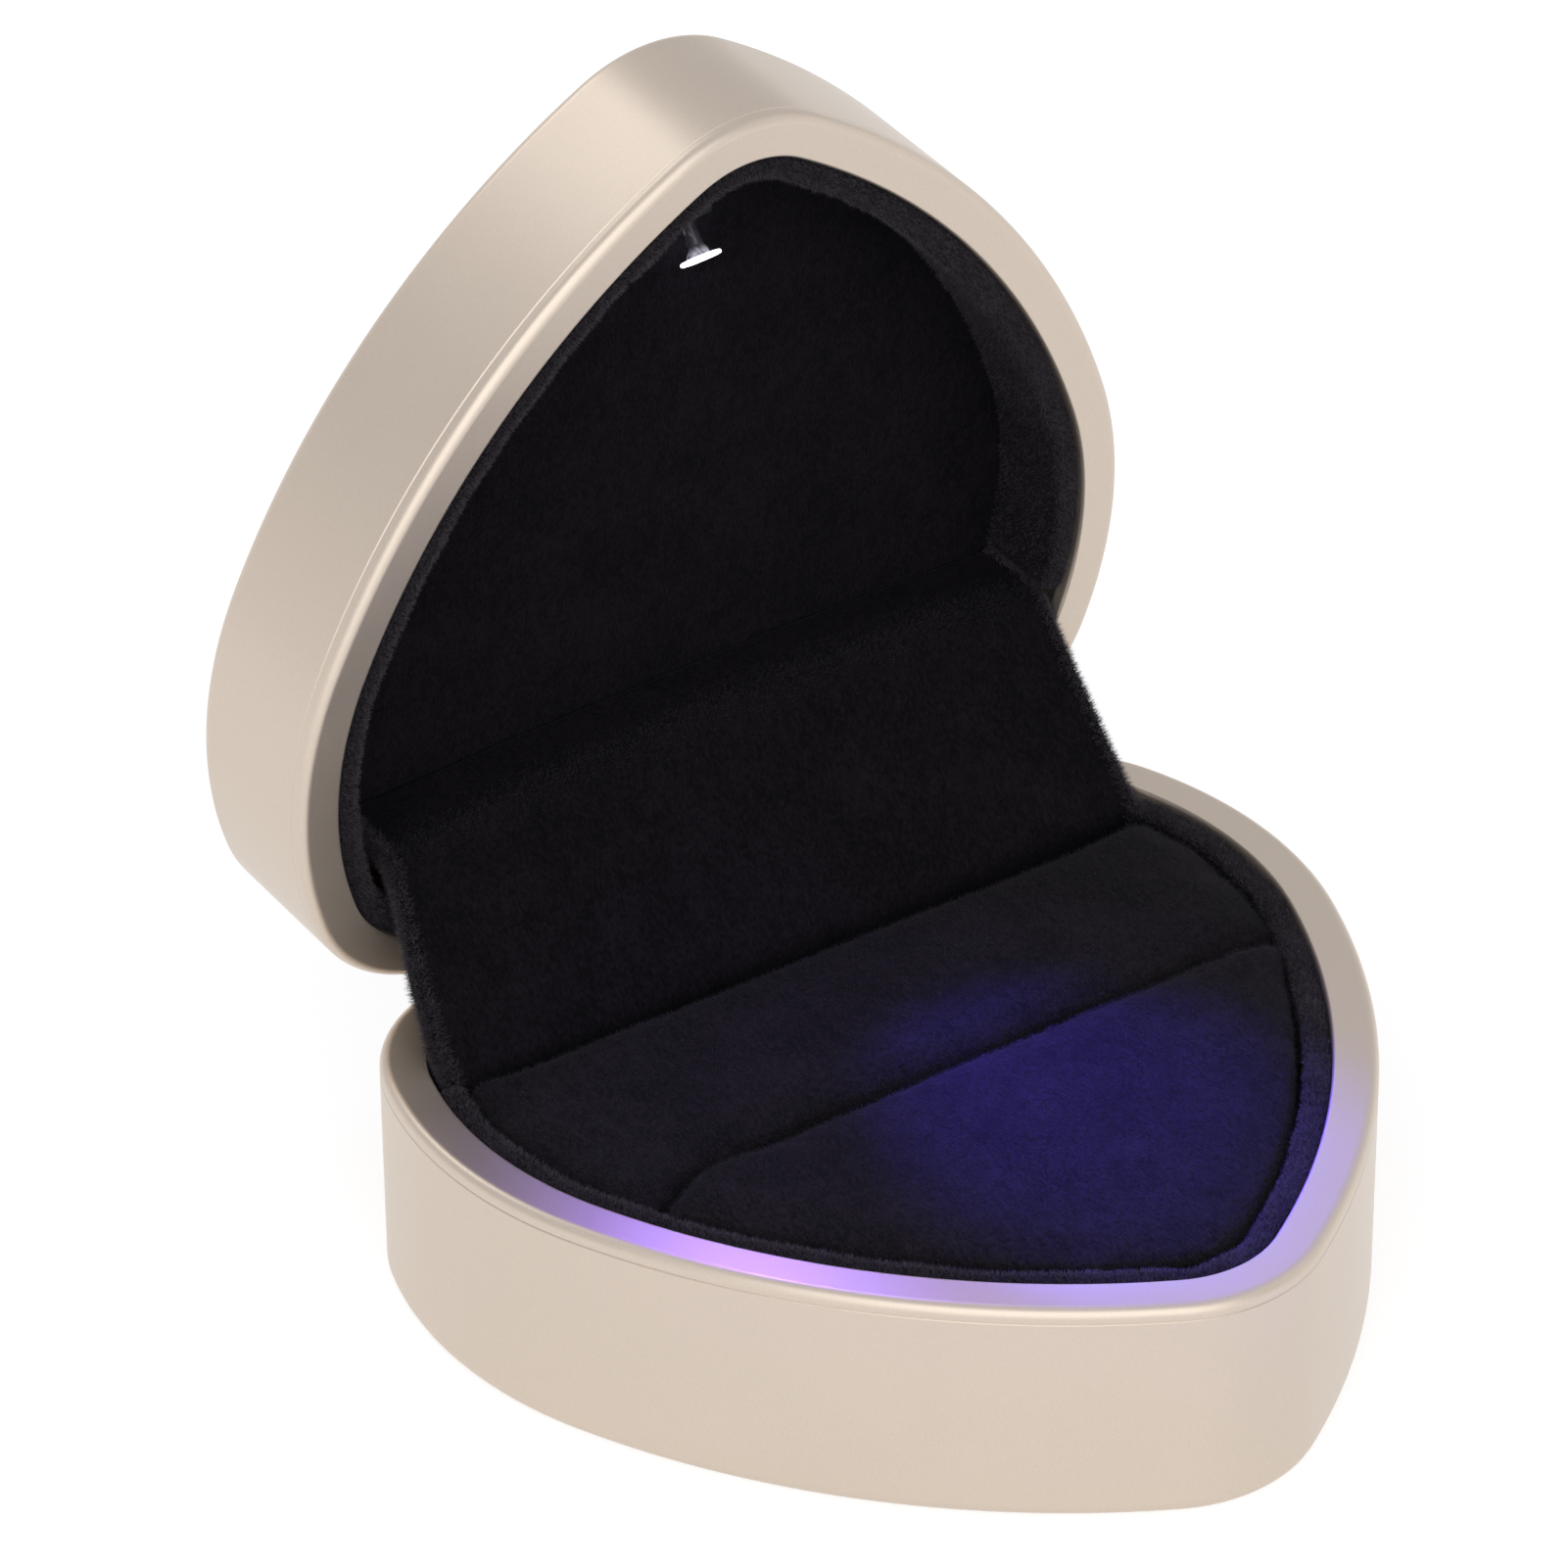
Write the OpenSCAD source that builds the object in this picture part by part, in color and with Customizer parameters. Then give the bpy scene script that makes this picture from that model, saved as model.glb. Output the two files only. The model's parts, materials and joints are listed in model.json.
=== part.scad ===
// Heart-shaped presentation box for a ring, with a lamp in its lid that lights when the box is opened.
// Millimetres, +Z up. Origin: centre of the base's footprint, on the surface the box stands on.
// The lid is drawn shut, then swung open about the hinge pin, so both halves share one outline.

/* [Body] */
// Overall width across the two lobes
box_w = 85; // [70:1:104]
// Height of the base, from the underside to its rim face
base_h = 20.8; // [17:0.1:26]
// Height of the lid, from its rim face to its top
lid_h = 14.9; // [12:0.1:18]
// Wall of the moulded shells
wall = 1.6; // [1.2:0.1:2.2]
// Rounding of the shells' outer edge at the underside and at the top
shell_round = 1.2; // [0.5:0.1:1.5]

/* [Heart outline] */
// Radius of the tip
tip_r = 13.8; // [9:0.1:20]
// Radius of the lobes, where the box is widest
lobe_r = 36.6; // [30:0.1:44]
// Radius of the shoulders, at the back
shoulder_r = 14.5; // [10:0.1:20]
// Direction of the joint between tip and side
tip_end = -60.1; // [-70:0.1:-50]
// Direction of the joint between side and lobe
side_end = -21.7; // [-30:0.1:-10]
// Direction of the joint between lobe and shoulder
lobe_end = 20; // [10:1:40]
// Direction of the joint between shoulder and the hollow at the back
shoulder_end = 116; // [108:1:124]

/* [Rim] */
// Width of the flat rim face
rim_w = 3.9; // [3:0.1:5]
// Thickness of the rim frame's plate, down to the seam
rim_t = 1.3; // [1:0.1:2]
// Rounding of the rim's outer edge
rim_round = 0.9; // [0.4:0.1:1.2]
// Depth of the frame's skirt inside the shell
skirt_h = 4; // [2:0.5:6]
// Gap between the two rim faces with the lid shut
lid_gap = 0.3; // [0.2:0.1:0.6]

/* [Hinge] */
// How far the lid stands open
open_angle = 84; // [60:1:90]
// Length of the hinge barrel
hinge_w = 24; // [18:1:30]
// Outer radius of the barrel
barrel_r = 1.5; // [1.2:0.1:2]
// Radius of the hinge pin
pin_r = 0.75; // [0.5:0.05:1]
// Running clearance of the lid's knuckles on the pin
pin_play = 0.05; // [0.02:0.01:0.1]
// Thickness of the sheet leaves
leaf_t = 0.6; // [0.4:0.1:0.8]

/* [Lining] */
// Thickness of the velvet strips inside the rims
liner_t = 2.2; // [1:0.1:2.5]
// How far the strips stay below the rim faces
liner_drop = 0.9; // [0.3:0.1:2]
// Position of the slit that grips the ring, from the box's centre
slit_y = 3; // [-6:0.1:8]
// Half the width of the slit
slit_half = 0.3; // [0.2:0.1:1]
// Valley between the rear pad and the flap
valley_w = 1.6; // [0.6:0.1:3]
// How much nearer the tip the flap enters the lid than the base
flap_lead = 1.2; // [0:0.1:4]
// Gap between the flap's ends and the rims
flap_end_gap = 0.9; // [0.6:0.1:4]
// Thickness of the flap
flap_t = 1.2; // [0.8:0.1:2]

/* [Lamp] */
// Radius of the lamp's lit face
lens_r = 1.9; // [1.2:0.1:2.5]
// Distance of the lamp from the outside of the tip
lamp_inset = 16.7; // [12:0.1:24]
// Depth of the lamp's lit face inside the lid
lens_z = 6; // [3:0.1:8]
// Diameter of the button cell
cell_d = 12.5; // [9.5:0.5:20]
// Thickness of the button cell
cell_t = 2; // [1.6:0.1:2.5]
// Width and length of the switch
switch_w = 6; // [4:0.5:7]
// Height of the switch
switch_h = 3.4; // [2.5:0.1:5]
// Travel of the switch button
switch_travel = 1.2; // [0.5:0.1:2]

/* [Hidden] */
$fn = 128;
eps = 0.01;
fit_gap = 0.05;         // between pieces of one body that are slid together
soft_gap = 0.3;         // between a soft piece and its neighbours

// heart outline: arcs that run into each other, each starting where the last one ends
function along(c, r, a) = [c[0] + r * cos(a), c[1] + r * sin(a)];
// the side's radius is the one that carries the outline out to the full width
side_r = (box_w / 2 - lobe_r * (1 - cos(side_end)) - tip_r * cos(tip_end)) / (cos(side_end) - cos(tip_end));
side_off = along([0, 0], tip_r - side_r, tip_end);
lobe_off = along(side_off, side_r - lobe_r, side_end);
shoulder_off = along(lobe_off, lobe_r - shoulder_r, lobe_end);
half_depth = (shoulder_off[1] + shoulder_r + tip_r) / 2;
tip_c = [0, tip_r - half_depth];
side_c = tip_c + side_off;
lobe_c = tip_c + lobe_off;
shoulder_c = tip_c + shoulder_off;
hollow_r = -shoulder_c[0] / cos(shoulder_end) - shoulder_r;
hollow_c = along(shoulder_c, shoulder_r + hollow_r, shoulder_end);
hollow_y = hollow_c[1] - hollow_r;
OUTWARD_ARCS = [        // [centre, radius, first direction, last direction]
    [tip_c, tip_r, -90, tip_end],
    [side_c, side_r, tip_end, side_end],
    [lobe_c, lobe_r, side_end, lobe_end],
    [shoulder_c, shoulder_r, lobe_end, shoulder_end],
];

function half_width(y, inset) = max([for (a = OUTWARD_ARCS)
    let (r = a[1] - inset, rise = (y - a[0][1]) / r)
    if (abs(rise) <= 1 && asin(rise) >= a[2] - eps && asin(rise) <= a[3] + eps) a[0][0] + r * cos(asin(rise))]);

// rim frame and hinge
skirt_u = wall + fit_gap;
skirt_t = 1.2;
inner_round = 0.3;
seam_w = 0.2;
pin_out = 0.3;                      // how far the pin's axis lies behind the outline
hinge_y = half_depth + pin_out;
hinge_z = base_h + lid_gap / 2;
lid_z = base_h + lid_gap;
knuckles = 5;
knuckle_gap = 0.15;
knuckle_w = hinge_w / knuckles;
leaf_z = lid_gap / 2 + rim_t;       // leaf's outer face, measured from the pin
leaf_lip = 0.6;                     // how far the leaf and its bed show inside the rim
leaf_front = hollow_y - rim_w - leaf_lip;
leaf_window = 0.4;                  // clearance round the other leaf's knuckles
bed_h = 4;
bed_side = 1;
bed_half = hinge_w / 2 + bed_side;
screw_r = 0.9;
screw_head_r = 1.5;
screw_l = 3.4;
screw_x = 8;
screw_edge = 0.5;                   // from the screws' heads to the leaf's front edge
screw_y = leaf_front + screw_head_r + screw_edge;
pin_head_r = 1.15;
pin_head_t = 0.5;
spring_t = 0.3;
spring_l = 3;
spring_half = 6;
spring_in = 1;                      // how far the spring and its fingers start behind the leaf's front
rivet_x = 3.5;
rivet_r = 0.8;
rivet_t = 0.25;

// lining of the base
liner_u = rim_w + fit_gap;
pad_u = liner_u + liner_t + soft_gap;
tray_t = 1.2;
tray_z = 8;
tray_u = skirt_u + skirt_t + soft_gap;
tray_end = 1;                       // how far the tray reaches behind the flap
grip_l = 28;
grip_w = 2;
post_r = 2.4;
post_head_r = 1.8;
post_head_t = 1;
rib_t = 1.2;
rib_share = 0.7;                    // height of the ribs in that of the posts
pad_drop = 0.3;
pad_top = base_h - pad_drop;

// flap over the hinge
flap_gap = 1;
flap_base_y = leaf_front - flap_gap - flap_t / 2;
flap_lid_y = flap_base_y - flap_lead;
flap_half = half_width(flap_base_y + flap_t / 2, rim_w) - flap_end_gap;
bend_drop = 1.2;                    // depth of the flap's lower bend under the base's rim face
fold_rise = 2.4;                    // depth of its upper fold inside the lid
pad_back_y = flap_base_y - flap_t / 2 - valley_w;
liner_back_y = flap_base_y - flap_t / 2 - 2 * soft_gap;
lid_liner_back_y = flap_lid_y - flap_t / 2 - 2 * soft_gap;

// lid module, in distances from the lid's rim face
panel_t = 1;
board_t = 0.8;
clip_t = 0.25;
clip_gap = 0.35;                    // between the cell's clip and the lid's top
panel_z = lid_h - wall - clip_gap - clip_t - cell_t - board_t - panel_t;
board_z = panel_z + panel_t;
board_side = 4.75;                  // board left free beside the cell, and in all before and behind it
board_ends = 11.5;
board_shift = 1;
board_half = cell_d / 2 + board_side;
board_l = cell_d + board_ends;
cell_y = 3;
board_y = cell_y - board_l / 2 + board_shift;
holder_t = 0.8;
holder_play = 0.15;
holder_h = 1.2;
holder_gate = 5;                    // opening through which the cell slides in
clip_half = 1.5;
clip_foot = 2;
cell_lip = 0.8;                     // width of the step round the cell's upper face
cell_step = 0.2;
resistor_size = [3.2, 1.6, 0.6];
resistor_in = 0.6;
switch_side = 4;                    // from the hinge's bed to the switch
switch_clear = 1;                   // from the flap to the switch
switch_c = [-bed_half - switch_side - switch_w / 2, flap_lid_y + flap_t / 2 + switch_clear + switch_w / 2];
switch_cover_t = 0.3;
switch_leg = 0.7;
switch_lip = 0.2;                   // how far the cover plate reaches past the body
switch_floor = 1;
button_r = 1.5;
button_play = 0.05;
button_out = 2.4;
button_rest = 0.1;                  // left under the button when it is pushed right in
button_z = board_z - switch_h;
arm_w = 6;
arm_y = cell_y + arm_w;
lamp_tilt = 45;
lens_y = half_depth - lamp_inset;
lens_t = 0.8;
stem_r = 0.7;
stem_l = 3.4;
stem_in = 0.5;                      // how far the stem goes into its mount
lead_r = 0.25;
lead_x = 0.35;
lead_gap = 0.05;
stem_end_y = lens_y + stem_l * sin(lamp_tilt);      // where the stem meets its mount
stem_end_z = lens_z + stem_l * cos(lamp_tilt);
mount_toe = 0.9;                    // how far the mount's sloping face runs down and up from the stem
mount_brow = 1.5;
mount_y = stem_end_y - mount_toe * cos(lamp_tilt);
mount_z = stem_end_z - mount_brow * sin(lamp_tilt);
mount_w = 3.6;
mount_l = 3.5;
mount_slope = 0.6;
mount_gap = 0.1;

GOLD = [0.80, 0.74, 0.66];
VELVET = [0.03, 0.03, 0.04];
STEEL = [0.62, 0.62, 0.64];
BLACK = [0.08, 0.08, 0.09];

// ---- outline tools ----

// A move in a coarse and a fine step, so that arcs laid end to end meet to a ten-millionth.
module place(p) {
    coarse = [for (v = p) round(v * 10) / 10];
    translate(coarse) translate(p - coarse) children();
}

// Runs a section round the heart. The section's x is the distance inwards from the outline, its y is height.
module swept() {
    for (side = [0, 1]) mirror([side, 0, 0]) {
        for (a = OUTWARD_ARCS) place([a[0][0], a[0][1], 0])
            rotate_extrude(start = a[2], angle = a[3] - a[2]) place([a[1], 0]) mirror([1, 0]) children();
        place([hollow_c[0], hollow_c[1], 0])
            rotate_extrude(start = 270, angle = shoulder_end - 90) place([hollow_r, 0]) children();
    }
}

function arc_points(c, r, a0, a1) = [for (i = [0 : 4]) along(c, r, a0 + (a1 - a0) * i / 5)];
function half_points(inset) = concat(
    [for (a = OUTWARD_ARCS) each arc_points(a[0], a[1] - inset, a[2], a[3])],
    arc_points(hollow_c, hollow_r + inset, shoulder_end + 180, 270));
function heart_points(inset) = concat(half_points(inset), [[0, hollow_y - inset]],
    [for (i = [len(half_points(inset)) - 1 : -1 : 1]) [-half_points(inset)[i][0], half_points(inset)[i][1]]]);

// A plate of the heart's shape, with its edge moved inwards: a true edge round a plain middle.
module plate(inset, t) {
    edge_w = 5;
    swept() translate([inset, 0]) square([edge_w, t]);
    linear_extrude(t) polygon(heart_points(inset + edge_w / 2));
}

// A square with its lower left corner rounded.
module eased(w, h, r) {
    difference() {
        square([w, h]);
        square(r);
    }
    intersection() {
        translate([r, r]) circle(r);
        square(r);
    }
}

// What lies between two lines across the box, from one height to another.
module between(y0, y1, z0, z1) {
    translate([-box_w, y0, z0]) cube([2 * box_w, y1 - y0, z1 - z0]);
}

// ---- placing ----

// From a height above the base's rim face to the same piece on the lid, shut.
module on_lid() {
    translate([0, 0, lid_z]) children();
}

module swung_open() {
    translate([0, hinge_y, hinge_z]) rotate([-open_angle, 0, 0]) translate([0, -hinge_y, -hinge_z]) children();
}

function swung_point(y, z) = [
    hinge_y + (y - hinge_y) * cos(open_angle) + (z - hinge_z) * sin(open_angle),
    hinge_z - (y - hinge_y) * sin(open_angle) + (z - hinge_z) * cos(open_angle)];

// ---- shells and frames ----

// A moulded cup, closed at z = 0, up to the seam under the rim frame.
module cup(h) {
    swept() difference() {
        eased(wall, h - rim_t, shell_round);
        translate([0, h - rim_t]) rotate(45) square(seam_w * sqrt(2), center = true);
    }
    linear_extrude(wall) polygon(heart_points((shell_round + wall) / 2));
}

// A flat ring on the cup's edge with a skirt inside it, its face at z = 0 and everything else below.
module frame() {
    difference() {
        union() {
            swept() {
                mirror([0, 1]) difference() {
                    eased(rim_w, rim_t, rim_round);
                    translate([rim_w, 0]) rotate(45) square(inner_round * sqrt(2), center = true);
                }
                translate([skirt_u, -rim_t - skirt_h]) square([skirt_t, skirt_h + rim_t / 2]);
            }
            translate([0, 0, -rim_t - bed_h]) linear_extrude(bed_h) hinge_bed();
        }
        // the leaf's way in, level with the cup's edge
        translate([-hinge_w / 2 - fit_gap, leaf_front - 1, -rim_t])
            cube([hinge_w + 2 * fit_gap, hinge_y - leaf_front, rim_t + 1]);
        for (x = [-screw_x, screw_x]) translate([x, screw_y, -rim_t - screw_l])
            cylinder(r = screw_r, h = screw_l + 1);
    }
}

// The seat under the leaf, between the shell's wall and the flap.
module hinge_bed() {
    difference() {
        translate([-bed_half, leaf_front]) square([2 * bed_half, hinge_y - leaf_front]);
        translate(hollow_c) circle(hollow_r + skirt_u + skirt_t / 2);
    }
}

// Posts and ribs stand at [direction on an arc, arc, distance inwards].
TRAY_POSTS = [[0, OUTWARD_ARCS[2], 18.5], [-45, OUTWARD_ARCS[1], 14]];
PANEL_POSTS = [[-35, OUTWARD_ARCS[2], 14.5], [-50, OUTWARD_ARCS[1], 12]];

module at_posts(posts) {
    for (side = [0, 1]) mirror([side, 0, 0])
        for (p = posts) translate(along(p[1][0], p[1][1] - p[2], p[0])) children();
}

// Ribs from the posts out to the wall.
module ribs(posts, h) {
    for (side = [0, 1]) mirror([side, 0, 0])
        for (p = posts) translate(along(p[1][0], p[1][1] - p[2], p[0])) rotate(p[0])
            translate([0, -rib_t / 2, 0]) cube([p[2] - wall / 2, rib_t, h]);
}

module base_shell() {
    color(GOLD) difference() {
        union() {
            cup(base_h);
            translate([0, 0, wall / 2]) {
                at_posts(TRAY_POSTS) cylinder(r = post_r, h = tray_z - wall / 2);
                ribs(TRAY_POSTS, (tray_z - wall) * rib_share);
            }
        }
        translate([0, 0, tray_z + tray_t - screw_l]) at_posts(TRAY_POSTS) cylinder(r = screw_r, h = screw_l);
    }
}

module base_frame() {
    color(GOLD) translate([0, 0, base_h]) frame();
}

module lid_shell() {
    color(GOLD) swung_open() on_lid() {
        translate([0, 0, lid_h]) mirror([0, 0, 1]) {
            cup(lid_h);
            translate([0, 0, wall / 2]) {
                at_posts(PANEL_POSTS) cylinder(r = post_r, h = lid_h - board_z - wall / 2);
                ribs(PANEL_POSTS, (lid_h - board_z - wall) * rib_share);
            }
        }
    }
}

module lid_frame() {
    color(GOLD) swung_open() on_lid() mirror([0, 0, 1]) frame();
}

// ---- lining of the base ----

module base_liner() {
    color(VELVET) liner_strip(tray_z + tray_t, base_h - liner_drop, liner_back_y);
}

// The velvet strip along the inside of a rim, ending where the flap covers it.
module liner_strip(z0, z1, y_end) {
    intersection() {
        swept() translate([liner_u, z0]) square([liner_t, z1 - z0]);
        between(-box_w, y_end, z0 - 1, z1 + 1);
    }
}

module base_tray() {
    color(BLACK) translate([0, 0, tray_z]) difference() {
        intersection() {
            plate(tray_u, tray_t);
            between(-box_w, flap_base_y + flap_t / 2 + tray_end, -1, tray_t + 1);
        }
        translate([0, 0, -1]) at_posts(TRAY_POSTS) cylinder(r = screw_r, h = tray_t + 2);
        // room under the slit for the ring's band
        translate([-grip_l / 2, slit_y - grip_w / 2, -1]) cube([grip_l, grip_w, tray_t + 2]);
    }
}

module tray_screws() {
    color(STEEL) translate([0, 0, tray_z + tray_t]) at_posts(TRAY_POSTS) {
        translate([0, 0, -screw_l]) cylinder(r = screw_r, h = screw_l + eps);
        cylinder(r = post_head_r, h = post_head_t);
    }
}

module pad(y0, y1) {
    z0 = tray_z + tray_t;
    color(VELVET) difference() {
        intersection() {
            translate([0, 0, z0]) plate(pad_u, pad_top - z0);
            between(y0, y1, z0 - 1, pad_top + 1);
        }
        // room for the screw heads
        translate([0, 0, z0 - 1]) at_posts(TRAY_POSTS) cylinder(r = post_head_r + soft_gap, h = 1 + post_head_t + soft_gap);
    }
}

module ring_pad_front() {
    pad(-box_w, slit_y - slit_half);
}

module ring_pad_rear() {
    pad(slit_y + slit_half, pad_back_y);
}

// ---- hinge ----

// One sheet leaf, lying under the pin's axis, with every second knuckle.
module leaf(first, bore_r) {
    translate([0, hinge_y, hinge_z]) difference() {
        union() {
            translate([-hinge_w / 2, leaf_front - hinge_y, -leaf_z]) cube([hinge_w, hinge_y - leaf_front, leaf_t]);
            for (i = [first : 2 : knuckles - 1]) knuckle(i, barrel_r, 0);
        }
        for (i = [1 - first : 2 : knuckles - 1]) translate([knuckle_x(i) - knuckle_gap / 2, -barrel_r - leaf_window, -barrel_r - 1])
            cube([knuckle_w + knuckle_gap, 2 * barrel_r + 1, 2 * barrel_r + 2]);
        for (i = [first : 2 : knuckles - 1]) knuckle(i, bore_r, 1);
        for (x = [-screw_x, screw_x]) translate([x, screw_y - hinge_y, -leaf_z])
            cylinder(r1 = screw_r, r2 = screw_head_r, h = leaf_t);
    }
}

function knuckle_x(i) = -hinge_w / 2 + i * knuckle_w;

module knuckle(i, r, over) {
    translate([knuckle_x(i) + knuckle_gap / 2 - over, 0, 0]) rotate([0, 90, 0])
        cylinder(r = r, h = knuckle_w - knuckle_gap + 2 * over);
}

module hinge_leaf_base() {
    color(STEEL) leaf(0, pin_r);
}

module hinge_leaf_lid() {
    color(STEEL) swung_open() translate([0, 0, 2 * hinge_z]) mirror([0, 0, 1]) leaf(1, pin_r + pin_play);
}

module hinge_pin() {
    color(STEEL) translate([0, hinge_y, hinge_z]) rotate([0, 90, 0]) {
        cylinder(r = pin_r, h = hinge_w, center = true);
        for (s = [0, 1]) mirror([0, 0, s]) translate([0, 0, hinge_w / 2]) cylinder(r = pin_head_r, h = pin_head_t);
    }
}

// A sprung strip riveted on the base leaf, with two fingers that bear on the lid's knuckles.
module snap_spring() {
    top = hinge_z - leaf_z + leaf_t;
    finger_end = hinge_y - barrel_r - leaf_window;
    color(STEEL) {
        translate([-spring_half, leaf_front + spring_in, top]) cube([2 * spring_half, spring_l, spring_t]);
        for (i = [1, 3]) translate([knuckle_x(i) + spring_in, leaf_front + spring_in + spring_l / 2, top])
            cube([knuckle_w - 2 * spring_in, finger_end - leaf_front - spring_in - spring_l / 2, spring_t]);
        for (x = [-rivet_x, rivet_x]) translate([x, leaf_front + spring_in + spring_l / 2, top])
            cylinder(r = rivet_r, h = spring_t + rivet_t);
    }
}

module leaf_screws() {
    for (x = [-screw_x, screw_x]) translate([x, screw_y, hinge_z - leaf_z]) {
        cylinder(r1 = screw_r, r2 = screw_head_r, h = leaf_t);
        translate([0, 0, -screw_l]) cylinder(r = screw_r, h = screw_l + eps);
    }
}

module hinge_screws_base() {
    color(STEEL) leaf_screws();
}

module hinge_screws_lid() {
    color(STEEL) swung_open() translate([0, 0, 2 * hinge_z]) mirror([0, 0, 1]) leaf_screws();
}

// The velvet flap that hides the hinge: up out of the base, slanting across the corner, and into the lid.
module hinge_flap() {
    bend = [flap_base_y, base_h - bend_drop];
    fold = swung_point(flap_lid_y, lid_z + fold_rise);
    path = [[flap_base_y, tray_z + tray_t], bend, fold, swung_point(flap_lid_y, lid_z + panel_z - soft_gap)];
    color(VELVET) rotate([90, 0, 90]) linear_extrude(2 * flap_half, center = true) {
        for (i = [0 : 2]) strip(path[i], path[i + 1]);
        for (p = [bend, fold]) translate(p) circle(flap_t / 2);
    }
}

module strip(a, b) {
    d = b - a;
    translate(a) rotate(atan2(d[1], d[0])) translate([0, -flap_t / 2]) square([norm(d), flap_t]);
}

// ---- lid lining and lamp module ----

module lid_liner() {
    color(VELVET) swung_open() on_lid() liner_strip(liner_drop, panel_z, lid_liner_back_y);
}

module lid_panel() {
    color(VELVET) swung_open() on_lid() difference() {
        intersection() {
            translate([0, 0, panel_z]) plate(tray_u, panel_t);
            between(-box_w, flap_lid_y + flap_t / 2 + soft_gap, panel_z - 1, board_z + 1);
        }
        translate([-mount_w / 2 - mount_gap, -mount_y - mount_l - mount_gap, panel_z - 1])
            cube([mount_w + 2 * mount_gap, mount_l + 2 * mount_gap, panel_t + 2]);
    }
}

module circuit_board() {
    color([0.05, 0.25, 0.12]) swung_open() on_lid() translate([0, 0, board_z]) linear_extrude(board_t) {
        translate([-board_half, board_y]) square([2 * board_half, board_l]);
        // an arm to the switch, and one to the lamp
        translate([switch_c[0] - switch_w / 2, arm_y]) square([-switch_c[0], arm_w]);
        translate([switch_c[0] - switch_w / 2, arm_y]) square([switch_w, switch_c[1] + switch_w / 2 - arm_y]);
        translate([-mount_w / 2, -mount_y - mount_l]) square([mount_w, mount_y + mount_l + board_y + 1]);
    }
}

// An open ring round the cell, on the board.
module cell_holder() {
    r = cell_d / 2 + holder_play;
    color(BLACK) swung_open() on_lid() translate([0, cell_y, board_z + board_t]) difference() {
        cylinder(r = r + holder_t, h = holder_h);
        translate([0, 0, -1]) cylinder(r = r, h = holder_h + 2);
        translate([-holder_gate / 2, 0, -1]) cube([holder_gate, 2 * r, holder_h + 2]);
        for (s = [0, 1]) mirror([s, 0, 0]) translate([r - 1, -clip_half - holder_play, -1])
            cube([r, 2 * (clip_half + holder_play), holder_h + 2]);
    }
}

module coin_cell() {
    color(STEEL) swung_open() on_lid() translate([0, cell_y, board_z + board_t]) {
        cylinder(d = cell_d, h = cell_t - cell_step);
        cylinder(d = cell_d - 2 * cell_lip, h = cell_t);
    }
}

// A sprung strap over the cell, with a foot on the board each side.
module cell_clip() {
    reach = cell_d / 2 + holder_play + holder_t + 2 * clip_t;
    color(STEEL) swung_open() on_lid() translate([0, cell_y - clip_half, board_z + board_t]) {
        translate([-reach, 0, cell_t]) cube([2 * reach, 2 * clip_half, clip_t]);
        for (s = [0, 1]) mirror([s, 0, 0]) {
            translate([reach - clip_t, 0, 0]) cube([clip_t, 2 * clip_half, cell_t + clip_t]);
            translate([reach - clip_t, 0, 0]) cube([clip_foot, 2 * clip_half, clip_t]);
        }
    }
}

module resistor() {
    color([0.1, 0.1, 0.1]) swung_open() on_lid()
        translate([-resistor_size[0] / 2, board_y + resistor_in, board_z + board_t]) cube(resistor_size);
}

// A square block on the switch's axis, from one height to another.
module block(w, z0, z1) {
    translate([-w / 2, -w / 2, z0]) cube([w, w, z1 - z0]);
}

// A push switch on the rim side of the board: a box with a cover plate and four legs, guiding the button.
module switch_body() {
    color(BLACK) swung_open() on_lid() translate([switch_c[0], switch_c[1], button_z]) difference() {
        union() {
            block(switch_w - 2 * switch_lip, switch_cover_t, switch_h);
            block(switch_w, 0, switch_cover_t);
            for (x = [-1, 1], y = [-1, 1]) translate([x * (switch_w - switch_leg) / 2, y * switch_w / 4, 0])
                block(switch_leg, switch_cover_t, switch_h);
        }
        translate([0, 0, -1]) cylinder(r = button_r + button_play, h = 1 + switch_h - switch_floor);
    }
}

module switch_plunger() {
    inside = switch_h - switch_floor - switch_travel - button_rest;
    color([0.7, 0.7, 0.7]) swung_open() on_lid() translate([switch_c[0], switch_c[1], button_z - button_out])
        cylinder(r = button_r, h = button_out + inside);
}

// The lamp's own frame, with its axis through lit face, stem and leads.
module on_lamp() {
    swung_open() on_lid() translate([0, -lens_y, lens_z]) rotate([lamp_tilt, 0, 0]) children();
}

module at_leads(grow, l) {
    for (x = [-lead_x, lead_x]) translate([x, 0, stem_l + stem_in]) cylinder(r = lead_r + grow, h = l);
}

// The block that carries the lamp, standing on the board and coming through the panel.
module led_mount() {
    brow_y = stem_end_y + mount_brow * cos(lamp_tilt);
    color(BLACK) difference() {
        swung_open() on_lid() translate([-mount_w / 2, 0, 0]) rotate([90, 0, 90]) linear_extrude(mount_w) polygon([
            [-mount_y, board_z], [-mount_y, stem_end_z + mount_toe * sin(lamp_tilt)], [-brow_y, mount_z],
            [mount_slope - mount_y - mount_l, mount_z], [-mount_y - mount_l, mount_z + mount_slope], [-mount_y - mount_l, board_z]]);
        on_lamp() at_leads(mount_gap / 2, mount_l);
        on_lamp() translate([0, 0, stem_l - 1]) cylinder(r = stem_r, h = 1 + stem_in);
    }
}

module led_leads() {
    run = (board_z - lead_gap - stem_end_z) / cos(lamp_tilt) - stem_in - lead_r * tan(lamp_tilt);
    color(STEEL) on_lamp() at_leads(0, run);
}

module led_lens() {
    color([0.95, 0.95, 1]) on_lamp() {
        translate([0, 0, -lens_t]) cylinder(r = lens_r, h = lens_t);
        cylinder(r = stem_r, h = stem_l + stem_in);
    }
}

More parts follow.
